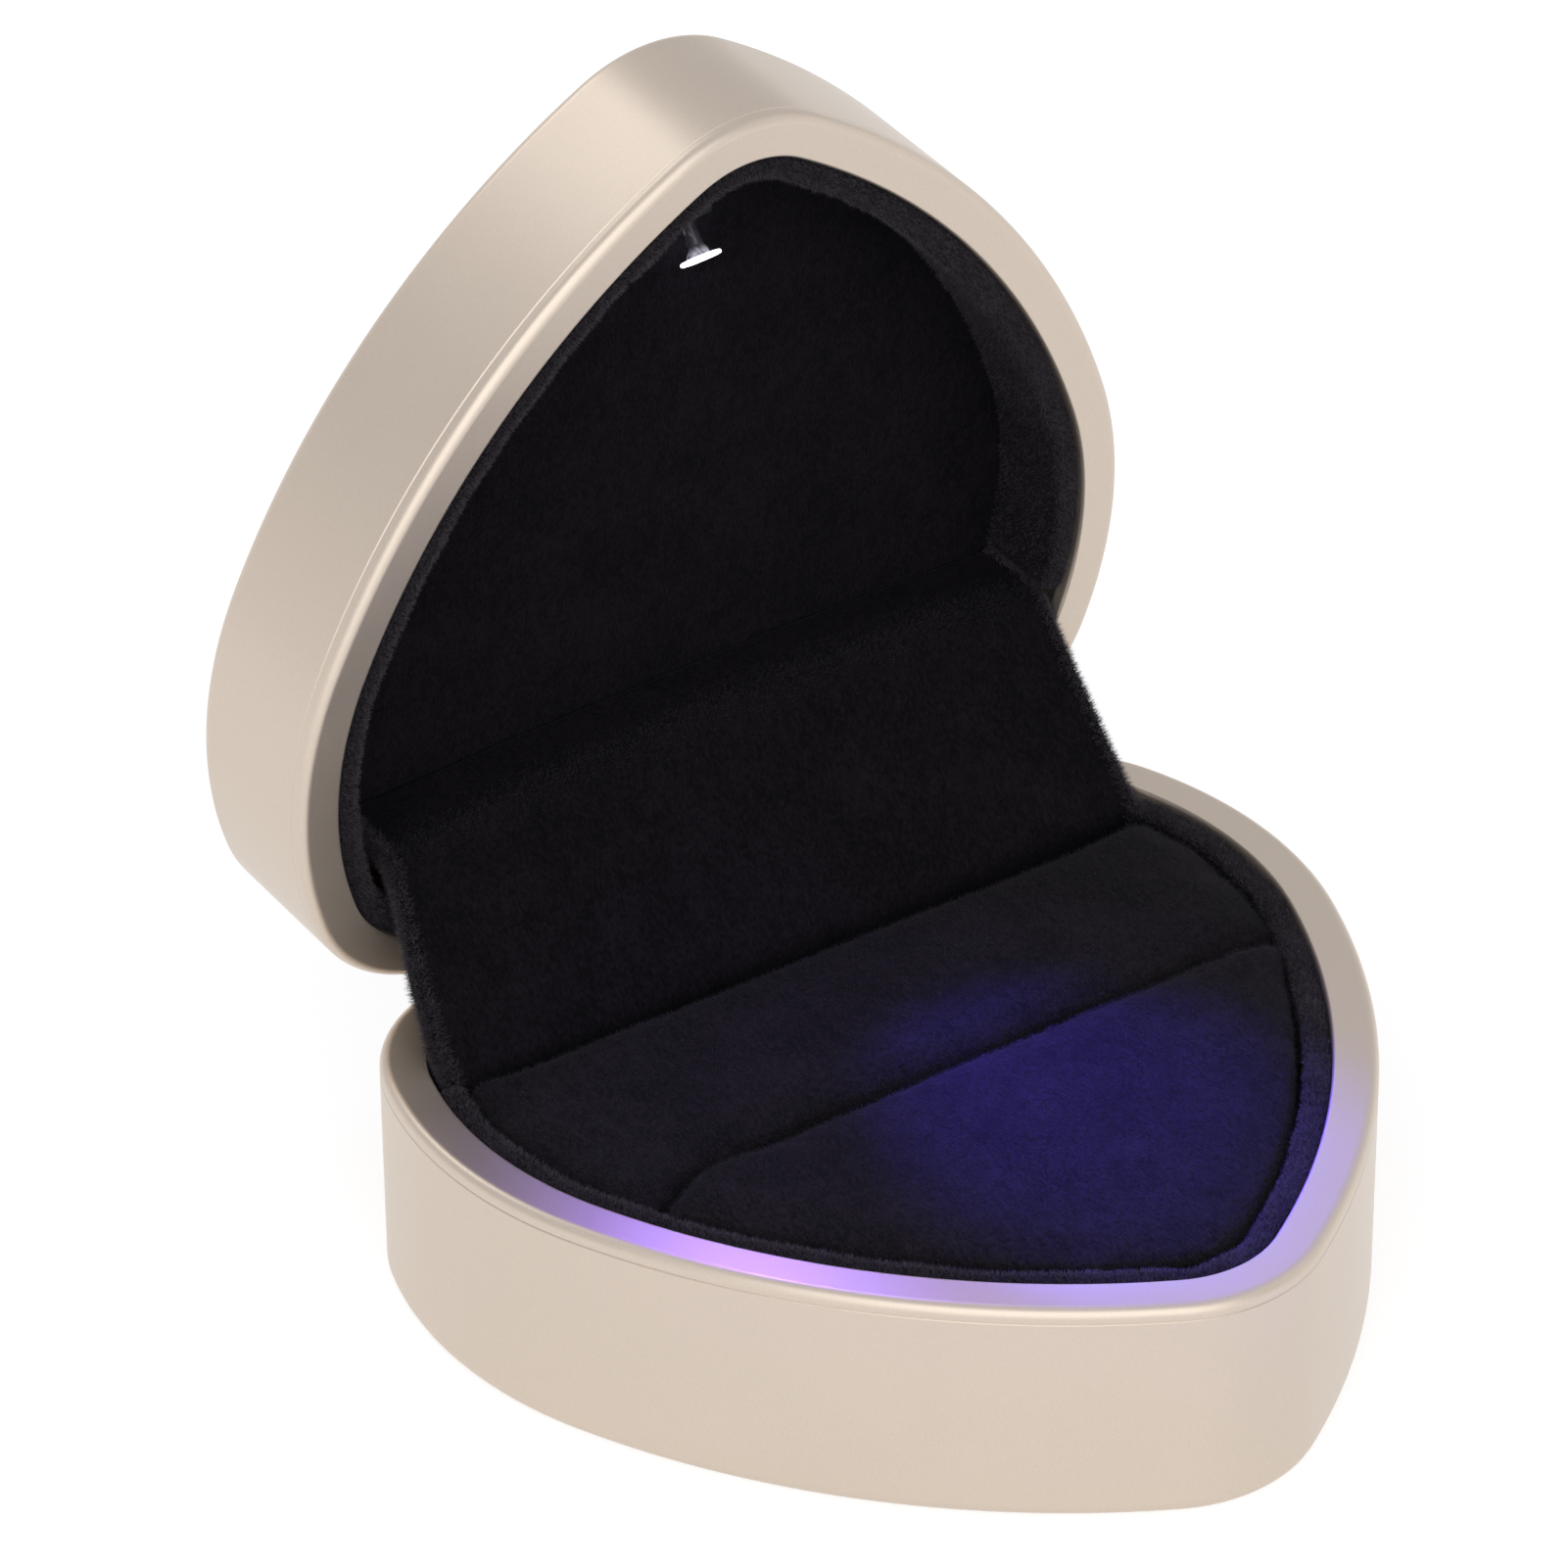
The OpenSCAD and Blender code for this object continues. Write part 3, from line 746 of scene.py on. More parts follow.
class Finish(Enum):
    """Every finish of the box."""

    GOLD = GoldLacquer()
    VELVET = Velvet("black_velvet", nap=(1.0, 0.45, 1.0))
    # the same black velvet made darker for the flap and the lid's panel: painted shade
    VELVET_PAINTED_SHADE = Velvet("black_velvet_painted_shade", (0.0023, 0.0019, 0.0029), (0.0092, 0.0074, 0.0102), 0.025, 0.08,
                  nap=(1.0, 0.5, 0.5))
    # a lighter copy of the black velvet for the fibres on the lining strips and the flap's edges: painted highlight
    PILE_PAINTED_HIGHLIGHT = Velvet("black_velvet_pile_painted_highlight", (0.024, 0.0195, 0.0235), (0.084, 0.069, 0.081), 0.2, 0.35, 0.5)
    # a lighter copy of the black velvet for the fibres on the pads and along the flap's fold: painted highlight
    NAP_PAINTED_HIGHLIGHT = Velvet("black_velvet_nap_painted_highlight", (0.010, 0.0085, 0.0105), (0.034, 0.029, 0.036), 0.1, 0.2, 0.7)
    STEEL = Plated()
    PLASTIC = Moulded()
    BOARD = SolderMask()
    LIT = LitFace()
    STEM_PAINTED_GLINT = FrostedStem()


@lru_cache(maxsize=None)
def material_of(finish: Finish) -> Material:
    """The finish's material, made once."""
    return finish.value.material()


def dress(obj: Object, finish: Finish) -> None:
    """Gives a piece its material and reports it.

    Args:
        obj: the piece.
        finish: its finish.
    """
    obj.data.materials.clear()
    obj.data.materials.append(material_of(finish))
    mesh = obj.data
    LOG.info("%s: %d vertices, %d faces, %s", obj.name, len(mesh.vertices), len(mesh.polygons), finish.name.lower())


def settle(obj: Object, finish: Finish, body: Optional[str], *stands_for: str) -> Object:
    """Gives a new piece its finish, the body it rides on and the nodes it stands for.

    Args:
        obj: the piece.
        finish: its finish.
        body: the CAD body it moves with, or None to leave it attached to no body.
        stands_for: CAD nodes that it replaces.

    Returns:
        The piece.
    """
    dress(obj, finish)
    if stands_for:
        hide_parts(*stands_for)
    if body:
        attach(obj, body)
    return obj


# ---------------------------------------------------------------- moulded halves

@dataclass
class MouldedHalf:
    """A shell and the rim frame on its edge."""

    half: Half
    outline: HeartOutline
    wall: float = 1.6
    shell_round: float = 1.2  # rounding round the shell's outer face
    inner_corner: float = 0.8  # rounding round its inner face
    floor_in: float = 11.5  # how far in from the outline the shell's flat faces are drawn to a point
    rim_w: float = 3.9  # width of the rim face
    rim_t: float = 1.3  # thickness of the frame's plate, down to the seam
    rim_round: float = 0.9  # rounding of the rim's outer edge
    inner_round: float = 0.3
    break_r: float = 0.1  # rounding of the edges that don't show
    skirt_u: float = 1.65  # distance of the frame's skirt from the outline
    skirt_t: float = 1.2
    skirt_h: float = 4.0  # the skirt's depth below the plate
    seam: float = 0.16  # width of the chamfer that makes the seam
    notch: float = 12.05  # half the width of the gap for the hinge leaf
    notch_y: Pair = (26.12, 39.08)  # where the gap starts and ends
    middle: Pair = (0.0, -2.0)  # the place in the plan that the flat faces are drawn to
    columns: int = 480

    def _swept(self, section: Array) -> Array:
        """Carries a section of inset and depth round the heart."""
        plan = self.outline.loop(self.columns).inset(section[:, :1])
        return self.half.place(stacked(plan, section[:, 1:]))

    def shell(self) -> Object:
        """Builds the shell: a section of outer face, wall and inner face carried round, closed by two poles.

        Returns:
            The piece.
        """
        high, inside, rim = self.half.height, self.half.height - self.wall, self.rim_t
        section = eased_path(
            [(self.floor_in, high), (0, high), (0, rim + self.seam), (self.seam, rim), (self.wall, rim),
             (self.wall, inside), (self.floor_in, inside)],
            [0, self.shell_round, 0, 0, self.break_r, self.inner_corner, 0], closed=False)
        surface = Surface(self._swept(section), **self.half.ends(self.middle, (high, inside)))
        name = f"{self.half.body}_shell"
        return settle(new_object(f"{name}_moulding", surface.mesh(name, SHARP)), Finish.GOLD, self.half.body, name)

    def frame(self) -> Object:
        """Builds the rim frame: a closed section of plate and skirt carried round, with a gap cut for the hinge leaf.

        Returns:
            The piece.
        """
        under, foot = self.rim_t, self.rim_t + self.skirt_h
        outer, inner = self.skirt_u, self.skirt_u + self.skirt_t
        section = eased_path(
            [(0, under), (0, 0), (self.rim_w, 0), (self.rim_w, under),
             (inner, under), (inner, foot), (outer, foot), (outer, under)],
            [0.05, self.rim_round, self.inner_round, self.break_r, 0, self.break_r, self.break_r, 0], closed=True)
        name = f"{self.half.body}_frame"
        obj = new_object(f"{name}_moulding", Surface(self._swept(section), along=True).mesh(name, SHARP))
        cutter = self._cutter(under)
        cut = obj.modifiers.new("gap", "BOOLEAN")
        cut.operation, cut.solver, cut.object = "DIFFERENCE", "EXACT", cutter
        apply_modifiers(obj)
        bpy.data.objects.remove(cutter)
        obj.data.set_sharp_from_angle(angle=math.radians(SHARP))
        return settle(obj, Finish.GOLD, self.half.body, name)

    def _cutter(self, depth: float) -> Object:
        """The block that cuts the gap, its corners numbered by x, then y, then z.

        Args:
            depth: how deep the gap is.

        Returns:
            The block, to be removed again.
        """
        spans = (-self.notch, self.notch), self.notch_y, (-1.0, depth)
        corners = np.stack(np.meshgrid(*spans, indexing="ij"), -1).reshape(-1, 3)
        faces = np.array([[0, 1, 3, 2], [4, 6, 7, 5], [0, 4, 5, 1], [2, 3, 7, 6], [0, 2, 6, 4], [1, 5, 7, 3]])
        return new_object("cutter", make_mesh("cutter", self.half.place(corners), [faces]))


# ---------------------------------------------------------------- velvet

@dataclass(frozen=True)
class Pile:
    """Velvet fibres on a surface, each a thin closed spike with three sides."""

    length: float  # mean length of a fibre
    width: float  # thickness at the root
    lean: Triple  # direction and amount that the pile is brushed
    stray: float  # how far fibres turn away from the lay at random
    seed: int
    sunk: float = 0.06  # how far the roots reach under the surface
    spread: Pair = (0.55, 1.25)  # the shortest and longest fibre, as shares of the mean

    def grow(self, name: str, on: Object, density: Callable[[Array, Array], Array], finish: Finish,
             body: Optional[str]) -> Object:
        """Scatters fibres over a mesh.

        A root lies at a random place in a triangle chosen by its area and density. The fibre runs
        along the face's normal plus the lean plus a random vector.

        Args:
            name: the piece's name.
            on: the piece that carries the fibres.
            density: fibres a square millimetre, from the triangles' middles and normals.
            finish: the fibres' finish.
            body: the CAD body they move with, or None to leave them attached to no body.

        Returns:
            The fibres as one piece.
        """
        rng = np.random.default_rng(self.seed)
        on.data.calc_loop_triangles()
        index = np.empty(len(on.data.loop_triangles) * 3, np.int32)
        on.data.loop_triangles.foreach_get("vertices", index)
        corners = corner_array(on.data)[index.reshape(-1, 3)]
        normal = np.cross(corners[:, 1] - corners[:, 0], corners[:, 2] - corners[:, 0])
        area = np.linalg.norm(normal, axis=1) / 2
        normal /= np.maximum(2 * area, 1e-12)[:, None]
        share = area * density(corners.mean(1), normal)
        total = int(share.sum())
        pick = np.searchsorted(np.cumsum(share), rng.uniform(0, share.sum(), total))
        u, v = rng.uniform(size=(2, total))
        u, v = np.where(u + v > 1, 1 - u, u), np.where(u + v > 1, 1 - v, v)
        tri = corners[pick]
        root = tri[:, 0] + u[:, None] * (tri[:, 1] - tri[:, 0]) + v[:, None] * (tri[:, 2] - tri[:, 0])
        aim = normal[pick] + np.array(self.lean) + self.stray * rng.normal(size=(total, 3))
        aim /= np.linalg.norm(aim, axis=1, keepdims=True)
        side = np.cross(aim, rng.normal(size=(total, 3)))
        side /= np.linalg.norm(side, axis=1, keepdims=True)
        other = np.cross(aim, side)
        turn = np.arange(3) * 2 * math.pi / 3
        ring = np.cos(turn)[None, :, None] * side[:, None] + np.sin(turn)[None, :, None] * other[:, None]
        low = (root - self.sunk * aim)[:, None] + self.width / 2 * ring
        high = root + aim * (self.length * rng.uniform(*self.spread, total))[:, None]
        points = np.concatenate([low, high[:, None]], 1).reshape(-1, 3)
        first = 4 * np.arange(total)[:, None]
        faces = (first[:, :, None] + np.array([[0, 1, 3], [1, 2, 3], [2, 0, 3], [2, 1, 0]])[None]).reshape(-1, 3)
        return settle(new_object(name, make_mesh(name, points, [faces])), finish, body)


@dataclass(frozen=True)
class Slit:
    """The line between the two pads: nearly straight, and turning towards the tip at both ends."""

    y: float = 3.0  # its place in the middle
    half: float = 0.10  # half the gap there
    slope: float = -0.016  # how much it runs across the box's x axis
    drop: Pair = (2.6, 1.2)  # how far its left and right ends turn down
    start: float = 25.5  # distance from the middle where they begin to
    ease: float = 7.5  # how far on they have turned down in full
    reach: float = 5.5  # how far from the slit the pads follow it

    def bent(self, points: Array) -> Array:
        """Moves points of the plan by the slope and the turned ends, less the further they lie from the slit.

        Args:
            points: x and y on the last axis.

        Returns:
            The points, their y moved by the slit's own turn times a bell curve of the distance from it.
        """
        x, y = points[..., 0], points[..., 1]
        end = np.clip((np.abs(x) - self.start) / self.ease, 0, 1)
        move = self.slope * x - np.where(x < 0, *self.drop) * eased(end)
        return np.stack([x, y + move * np.exp(-((y - self.y) / self.reach) ** 2)], -1)


@dataclass(frozen=True)
class Plan:
    """A closed line in plan: the heart stepped in, cut off by two lines across the box, with soft corners."""

    outline: HeartOutline
    inset: float  # distance from the outline
    front: Optional[float]  # the y of the front line, or None for the tip
    back: float  # the y of the rear line
    corner: float  # how much the corners are softened
    slit: Optional[Slit] = None  # the slit that its line follows, if any
    slant: float = 0.0  # how much the rear line runs across the box's x axis
    slanted: float = 8.0  # how far before the rear line the slant begins
    count: int = 480

    def line(self) -> Array:
        """Works out the line: two runs of the stepped-in outline, evenly spaced, and smoothed by a Gauss filter.

        Returns:
            Its points, anticlockwise.
        """
        start = 0.0 if self.front is None else self.outline.run_at(self.front, self.inset)
        end = self.outline.run_at(self.back, self.inset)
        right = self.outline.rail(np.linspace(start, end, 600)).inset(self.inset)
        ring = np.concatenate([right, right[::-1] * [-1, 1], right[:1]])
        length = distances(ring)[-1]
        points = at_steps(ring, np.linspace(0, length, self.count, endpoint=False))
        offset = np.arange(self.count) - self.count // 2
        kernel = np.exp(-0.5 * (offset * (length / self.count) / self.corner) ** 2)
        spectrum = np.fft.fft(np.fft.ifftshift(kernel / kernel.sum()))
        soft = np.real(np.fft.ifft(np.fft.fft(points, axis=0) * spectrum[:, None], axis=0))
        near = np.clip((soft[:, 1] - self.back + self.slanted) / self.slanted, 0, 1)
        soft[:, 1] += self.slant * soft[:, 0] * near
        return self.slit.bent(soft) if self.slit else soft


def outward(line: Array) -> Array:
    """Works out which way is out along a closed line: the tangent turned clockwise.

    Args:
        line: its points, anticlockwise.

    Returns:
        Unit normals.
    """
    tangent = np.roll(line, -1, 0) - np.roll(line, 1, 0)
    tangent /= np.linalg.norm(tangent, axis=1, keepdims=True)
    return np.stack([tangent[:, 1], -tangent[:, 0]], 1)


@dataclass
class Cushion:
    """A foam pad wrapped in velvet: flat where it rests, with rolled edges and a crowned top."""

    name: str  # the CAD node that it stands for
    plan: Plan
    half: Half
    foot: float  # depth of its underside
    facing: float  # 1 where the slit is behind the pad, -1 where it is in front
    lip: float  # how far the edge at the slit stands up
    slit_roll: float  # radius of the rolled edge at the slit
    seed: int
    pile: Pile
    top: float = 0.35  # depth of its top in the middle
    roll: float = 0.6  # radius of the rolled edge elsewhere
    cap: float = 0.6  # how far the simulation may move a point
    voxel: float = 0.8  # size of the even mesh that is simulated
    held: float = 3.5  # height over the foot up to which the cloth is held
    uneven: Pair = (0.13, 13.0)  # height and length of the top's unevenness
    lip_reach: float = 2.6  # how far from the slit the lip runs out
    fibres: float = 11.0  # fibres a square millimetre on its top
    edging: float = 22.0  # how many more where the top turns down
    SCALE: ClassVar[float] = 8.0  # how many times life size the cloth is simulated
    STEPS: ClassVar[int] = 20

    def starter(self) -> Surface:
        """The pad before it swells: its line stepped in and up over a quarter circle, then drawn to the middle.

        Returns:
            The closed surface, in place.
        """
        line = self.plan.line()
        out = outward(line)
        arc = np.linspace(0, math.pi / 2, 7)
        at_slit = np.clip((out[:, 1] * self.facing - 0.75) / 0.2, 0, 1)
        roll = self.roll + (self.slit_roll - self.roll) * at_slit
        ones = np.ones_like(roll)
        inset = np.concatenate([np.outer([0.5, 0.1, 0, 0], ones), np.outer(1 - np.cos(arc), roll)])
        depth = np.concatenate([
            np.outer([self.foot, self.foot - 0.4, self.foot - 3], ones), [self.top + roll + 1],
            self.top + np.outer(1 - np.sin(arc), roll)])
        rows = line - inset[..., None] * out
        middle = rows[-1].mean(0)
        shrink = np.array([0.85, 0.7, 0.5, 0.3, 0.12])
        inner = middle + shrink[:, None, None] * (rows[-1] - middle)
        depths = np.concatenate([depth, np.outer(np.full(len(shrink), self.top), ones)])
        points = self.half.place(stacked(np.concatenate([rows, inner]), depths))
        return Surface(points, **self.half.ends(middle, (self.foot, self.top)))

    def build(self) -> None:
        """Builds the pad: starter, voxel remesh, cloth under pressure, unevenness, one subdivision, and its fibres."""
        obj = new_object(f"{self.name}_velvet", self.starter().mesh(self.name))
        move_corners(obj.data, corner_array(obj.data) * self.SCALE)
        remesh = obj.modifiers.new("even", "REMESH")
        remesh.mode, remesh.voxel_size = "VOXEL", self.voxel * MM * self.SCALE
        apply_modifiers(obj)
        self._swell(obj)
        points = corner_array(obj.data) / self.SCALE
        move_corners(obj.data, points + [0, 0, 1] * self._unevenness(points)[:, None])
        smooth = obj.modifiers.new("soft", "SMOOTH")
        smooth.factor, smooth.iterations = 0.5, 3
        finer = obj.modifiers.new("finer", "SUBSURF")
        finer.levels = finer.render_levels = 1
        apply_modifiers(obj)
        shade_smooth(obj.data)
        settle(obj, Finish.VELVET, self.half.body, self.name)
        # its fibres wear a lighter copy of the velvet, a painted highlight, most on the rolled edges
        self.pile.grow(f"{self.name}_pile", obj, self._density, Finish.NAP_PAINTED_HIGHLIGHT, self.half.body)

    def _unevenness(self, points: Array) -> Array:
        """How far the pad's points are raised: slow waves and the lip at the slit, growing with the cube of the height.

        Args:
            points: the pad's vertices, in millimetres.

        Returns:
            One height a point.
        """
        low = self.foot - 2
        high = np.clip((low - (self.half.rim_z - points[:, 2])) / (low - self.top), 0, 1)
        near = np.exp(-np.abs(points[:, 1] - self.plan.slit.y) / self.lip_reach)
        height, reach = self.uneven
        return high ** 3 * (height * waves(points[:, :2], reach, self.seed) + self.lip * near)

    def _swell(self, obj: Object) -> None:
        """Blows the pad up as cloth, with its lower part held, and caps how far each point moves.

        Args:
            obj: the pad, SCALE times life size.
        """
        start = corner_array(obj.data)
        low = start[:, 2] < (self.half.rim_z - self.foot + self.held) * self.SCALE
        obj.vertex_groups.new(name="held").add(np.nonzero(low)[0].tolist(), 1.0, "REPLACE")
        cloth = obj.modifiers.new("swell", "CLOTH")
        cloth.settings.vertex_group_mass = "held"
        cloth.settings.quality = 6
        cloth.settings.mass = 0.3
        cloth.settings.tension_stiffness = cloth.settings.compression_stiffness = 12.0
        cloth.settings.bending_stiffness = 0.6
        cloth.settings.use_pressure = True
        cloth.settings.uniform_pressure_force = 4.0
        cloth.settings.effector_weights.gravity = 0.0
        cloth.point_cache.frame_start, cloth.point_cache.frame_end = 1, self.STEPS
        scene = bpy.context.scene
        for step in range(1, self.STEPS + 1):
            scene.frame_set(step)
        moved = corner_array(baked(obj)) - start
        obj.modifiers.remove(cloth)
        scene.frame_set(1)
        far = np.linalg.norm(moved, axis=1)
        LOG.info("%s: swelled by up to %.2f mm before the cap", self.name, far.max() / self.SCALE)
        limit = self.cap * self.SCALE
        near = limit * np.tanh(far / limit)
        move_corners(obj.data, start + moved * (near / np.maximum(far, 1e-9))[:, None])

    def _density(self, middle: Array, normal: Array) -> Array:
        """Fibres a square millimetre, from triangles' middles and normals: on top, most where it turns down."""
        edge = np.clip(1 - np.abs(normal[:, 2] - 0.55) / 0.45, 0, 1)
        return (middle[:, 2] > self.half.rim_z - 2.5) * (self.fibres + self.edging * edge)


@dataclass
class LiningStrip:
    """The velvet-wrapped strip along the inside of a rim, with a soft rolled top."""

    half: Half
    outline: HeartOutline
    top: float  # depth of its rolled edge
    foot: float  # depth of its lower edge
    back: Pair  # the y of its left and right ends
    seed: int
    wall: float  # fibres a square millimetre on its inner face
    pile: Pile
    inset: float = 3.98  # its outer face's distance from the outline
    thickness: float = 2.25
    fall: Pair = (0.42, 0.12)  # how much lower its top is at the rim, on the left and on the right
    blend: float = 9.0  # how far from the tip the one fall turns into the other
    finger: float = 0.6  # length over which its ends are drawn in
    roll: float = 2.5  # depth of the part that varies
    rolled: float = 62.0  # fibres a square millimetre on the roll
    rings: int = 420

    def build(self) -> Object:
        """Builds the strip: an oblong section with a round top, its ends drawn in like a finger's.

        Returns:
            The velvet, still without its fibres.
        """
        left, right = (self.outline.run_at(y, self.inset + self.thickness / 2) for y in self.back)
        ramp = self.finger * (1 - np.cos(np.linspace(0.18, math.pi / 2, 7)))
        even = np.linspace(-left + self.finger, right - self.finger, self.rings)[1:-1]
        run = np.concatenate([-left + ramp, even, right - ramp[::-1]])
        near = np.clip(np.minimum(left + run, right - run) / self.finger, 0, 1)
        u, depth = self._section(run, np.sqrt(np.maximum(1 - (1 - near) ** 2, 0)))
        plan = self.outline.rail(run).inset((self.inset + u).T).swapaxes(0, 1)
        name = f"{self.half.body}_liner"
        surface = capped(self.half.place(stacked(plan, depth)))
        obj = settle(new_object(f"{name}_velvet", surface.mesh(name)), Finish.VELVET, self.half.body, name)
        return obj

    def fibres(self, velvet: Object) -> None:
        """Grows the strip's fibres on its velvet, in a lighter copy of the velvet: a painted highlight on its roll and
        inner face.
        """
        self.pile.grow(f"{self.half.body}_liner_pile", velvet, self._density, Finish.PILE_PAINTED_HIGHLIGHT, self.half.body)

    def _section(self, run: Array, draw: Array) -> tuple[Array, Array]:
        """The section at each place along the strip: its top falls off towards the rim and wanders a little.

        Args:
            run: the places, as distances along the outline.
            draw: how much of the thickness is left there.

        Returns:
            Distance from the strip's outer face and depth, places x points of the section.
        """
        t, flat = self.thickness, 0.62 * self.thickness
        section = eased_path(
            [(0, self.foot), (0, self.top), (flat, self.top), (t, self.top + 0.25), (t, self.foot)],
            [0.1, 0.3, 0.9, 0.5, 0.1], closed=True, steps=7)
        u = t / 2 + (section[:, 0] - t / 2) * draw[:, None]
        depth = np.broadcast_to(section[:, 1], u.shape)
        high = np.clip((self.top + self.roll - depth) / self.roll, 0, 1)
        fall = self.fall[0] + (self.fall[1] - self.fall[0]) / (1 + np.exp(-run / self.blend))
        walk = np.stack([run, 0 * run], 1)
        wander = 0.16 * waves(walk, 11.0, self.seed) + 0.05 * waves(walk, 2.3, self.seed + 1)
        depth = depth + high * fall[:, None] * np.clip(1 - u / flat, 0, 1) ** 2.5
        depth = depth + high * wander[:, None] + (1 - draw[:, None]) * 0.5 * high
        bulge = 0.10 * waves(walk, 7.0, self.seed + 2)
        return u + (section[:, 0] > t / 2) * high * bulge[:, None], depth

    def _density(self, middle: Array, normal: Array) -> Array:
        """Fibres a square millimetre, from triangles' middles and normals: dense on the roll, none outside."""
        inward = np.einsum("ij,ij->i", normal, self.half.place(np.zeros(3)) - middle) > 0
        return self.wall * inward + self.rolled * np.clip(normal @ self.half.out(), 0, 1)


@dataclass
class HingeFlap:
    """The velvet flap that hides the hinge, from behind the rear pad over into the lid."""

    path: Array  # its corners in y and z, from the foot in the base to the edge in the lid
    half_w: float = 36.3
    thickness: float = 1.25  # its thickness, pile included
    bend: float = 1.6  # radius at its two bends
    # left: how much narrower it is on the left, at shares of its length
    left: tuple[Pair, ...] = ((0, 0.4), (0.38, 0.5), (0.55, 1.5), (0.8, 3.3), (1, 3.6))
    # fold: how far its fold lies up or down the slope, at shares of its width
    fold: tuple[Pair, ...] = ((-1, -1.3), (-0.5, -0.2), (0.3, 0.7), (0.8, 0.3), (1, 0))
    hem: Pair = (0.35, 1.8)  # how much thicker its side edges are, and how far in
    hem_fibres: float = 85.0  # fibres a square millimetre at its side edges
    fold_fibres: float = 48.0  # and along its fold, in a lighter velvet that paints a highlight there
    rows: int = 130
    columns: int = 300

    def spine(self) -> Array:
        """The path with its corners rounded, evenly spaced."""
        line = eased_path(self.path, [0, self.bend, self.bend, 0], closed=False, steps=12)
        return at_steps(line, np.linspace(0, distances(line)[-1], self.rows))

    def width(self, side: Array, run: Array) -> Array:
        """Half the width on the side that a number's sign gives, at shares of the length."""
        return np.where(side < 0, self.half_w - np.interp(run, *zip(*self.left)), self.half_w)

    def slid(self, share: Array) -> Array:
        """How far the fold is moved at shares of the half width: up or down the slope, in y and z."""
        slope = (self.path[2] - self.path[1]) / np.linalg.norm(self.path[2] - self.path[1])
        return np.interp(share, *zip(*self.fold))[..., None] * slope

    def surface(self) -> Surface:
        """Works out the flap: a flat oval section carried along the spine, slack between its bends.

        The section is a half ellipse at each side edge, thickened by the hem. Slow waves push it out
        along the spine's normal, and past the middle it slides along the slope, as the fold does.

        Returns:
            The closed surface, in place.
        """
        spine, run = self.spine(), np.linspace(0, 1, self.rows)
        tangent = np.gradient(spine, axis=0)
        tangent /= np.linalg.norm(tangent, axis=1, keepdims=True)
        normal = np.stack([-tangent[:, 1], tangent[:, 0]], 1)
        turn = np.linspace(0, 2 * math.pi, self.columns, endpoint=False)
        share = np.cos(turn)
        inside = (1 - np.abs(share)) * self.half_w
        edge = np.clip(inside / (0.5 * self.thickness), 0, 1)
        swell = 1 + self.hem[0] * np.exp(-(inside / self.hem[1]) ** 2)
        side = np.sign(np.sin(turn) + 1e-12)
        thick = 0.5 * self.thickness * swell * np.sqrt(np.maximum(1 - (1 - edge) ** 2, 0)) * side
        length = 34 * run[:, None]
        wander = 0.20 * waves(length * [1, 0], 6.0, 7)
        xs = share * (self.width(share[None, :], run[:, None]) + wander[:, None])
        free = np.sin(math.pi * np.clip((run - 0.22) / 0.66, 0, 1))
        grid = np.stack(np.broadcast_arrays(xs, length), -1)
        slack = free[:, None] * (0.22 * waves(grid, 17.0, 5) + 0.07 * waves(grid, 5.0, 6))
        slide = eased(np.clip((run - 0.45) / 0.32, 0, 1))[:, None, None] * self.slid(share)
        slide[run >= 0.9, :, 0] = 0
        off = thick[None, :] + slack
        return capped(np.concatenate([xs[..., None], spine[:, None] + off[..., None] * normal[:, None] + slide], -1))

    def build(self) -> None:
        """Builds the flap and its fibres, attached to no body, with their placing baked into their meshes."""
        obj = new_object("hinge_flap_velvet", self.surface().mesh("hinge_flap"))
        # the flap wears the darker copy of the velvet, painted shade
        settle(obj, Finish.VELVET_PAINTED_SHADE, None, "hinge_flap")
        edging, down = Pile(0.66, 0.05, (0.0, -0.15, 0.15), 0.40, 71), Pile(0.42, 0.045, (0.0, -0.1, 0.2), 0.25, 72)
        # the edge fibres wear the lighter velvet, a painted highlight along the flap's side edges
        pile = edging.grow("hinge_flap_pile", obj, self._at_edges, Finish.PILE_PAINTED_HIGHLIGHT, None)
        # the fold fibres wear a lighter velvet, a painted highlight along the fold
        nap = down.grow("hinge_flap_nap", obj, self._at_fold, Finish.NAP_PAINTED_HIGHLIGHT, None)
        for piece in (obj, pile, nap):
            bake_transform(piece)
        length = float(distances(self.spine())[-1])

    def _at_edges(self, middle: Array, normal: Array) -> Array:
        """Fibres dense along the side edges, fading inwards, none behind or low in the base.

        Args:
            middle: the triangles' middles.
            normal: their normals.

        Returns:
            Fibres a square millimetre.
        """
        spine = self.spine()
        run = np.linalg.norm(middle[:, None, 1:] - spine[None], axis=2).argmin(1) / (len(spine) - 1)
        margin = self.width(middle[:, 0], run) - np.abs(middle[:, 0])
        return self.hem_fibres * (middle[:, 2] > 15) * (normal[:, 1] < 0.5) * np.clip(1.35 - margin / 1.1, 0, 1)

    def _at_fold(self, middle: Array, normal: Array) -> Array:
        """Fibres a square millimetre, from triangles' middles and normals: a bell curve across the fold, where their
        lighter velvet paints a highlight.
        """
        far = np.linalg.norm(middle[:, 1:] - (self.path[2] + self.slid(middle[:, 0] / self.half_w)), axis=1)
        return self.fold_fibres * (normal[:, 1] < 0.5) * np.exp(-(far / 1.5) ** 2)


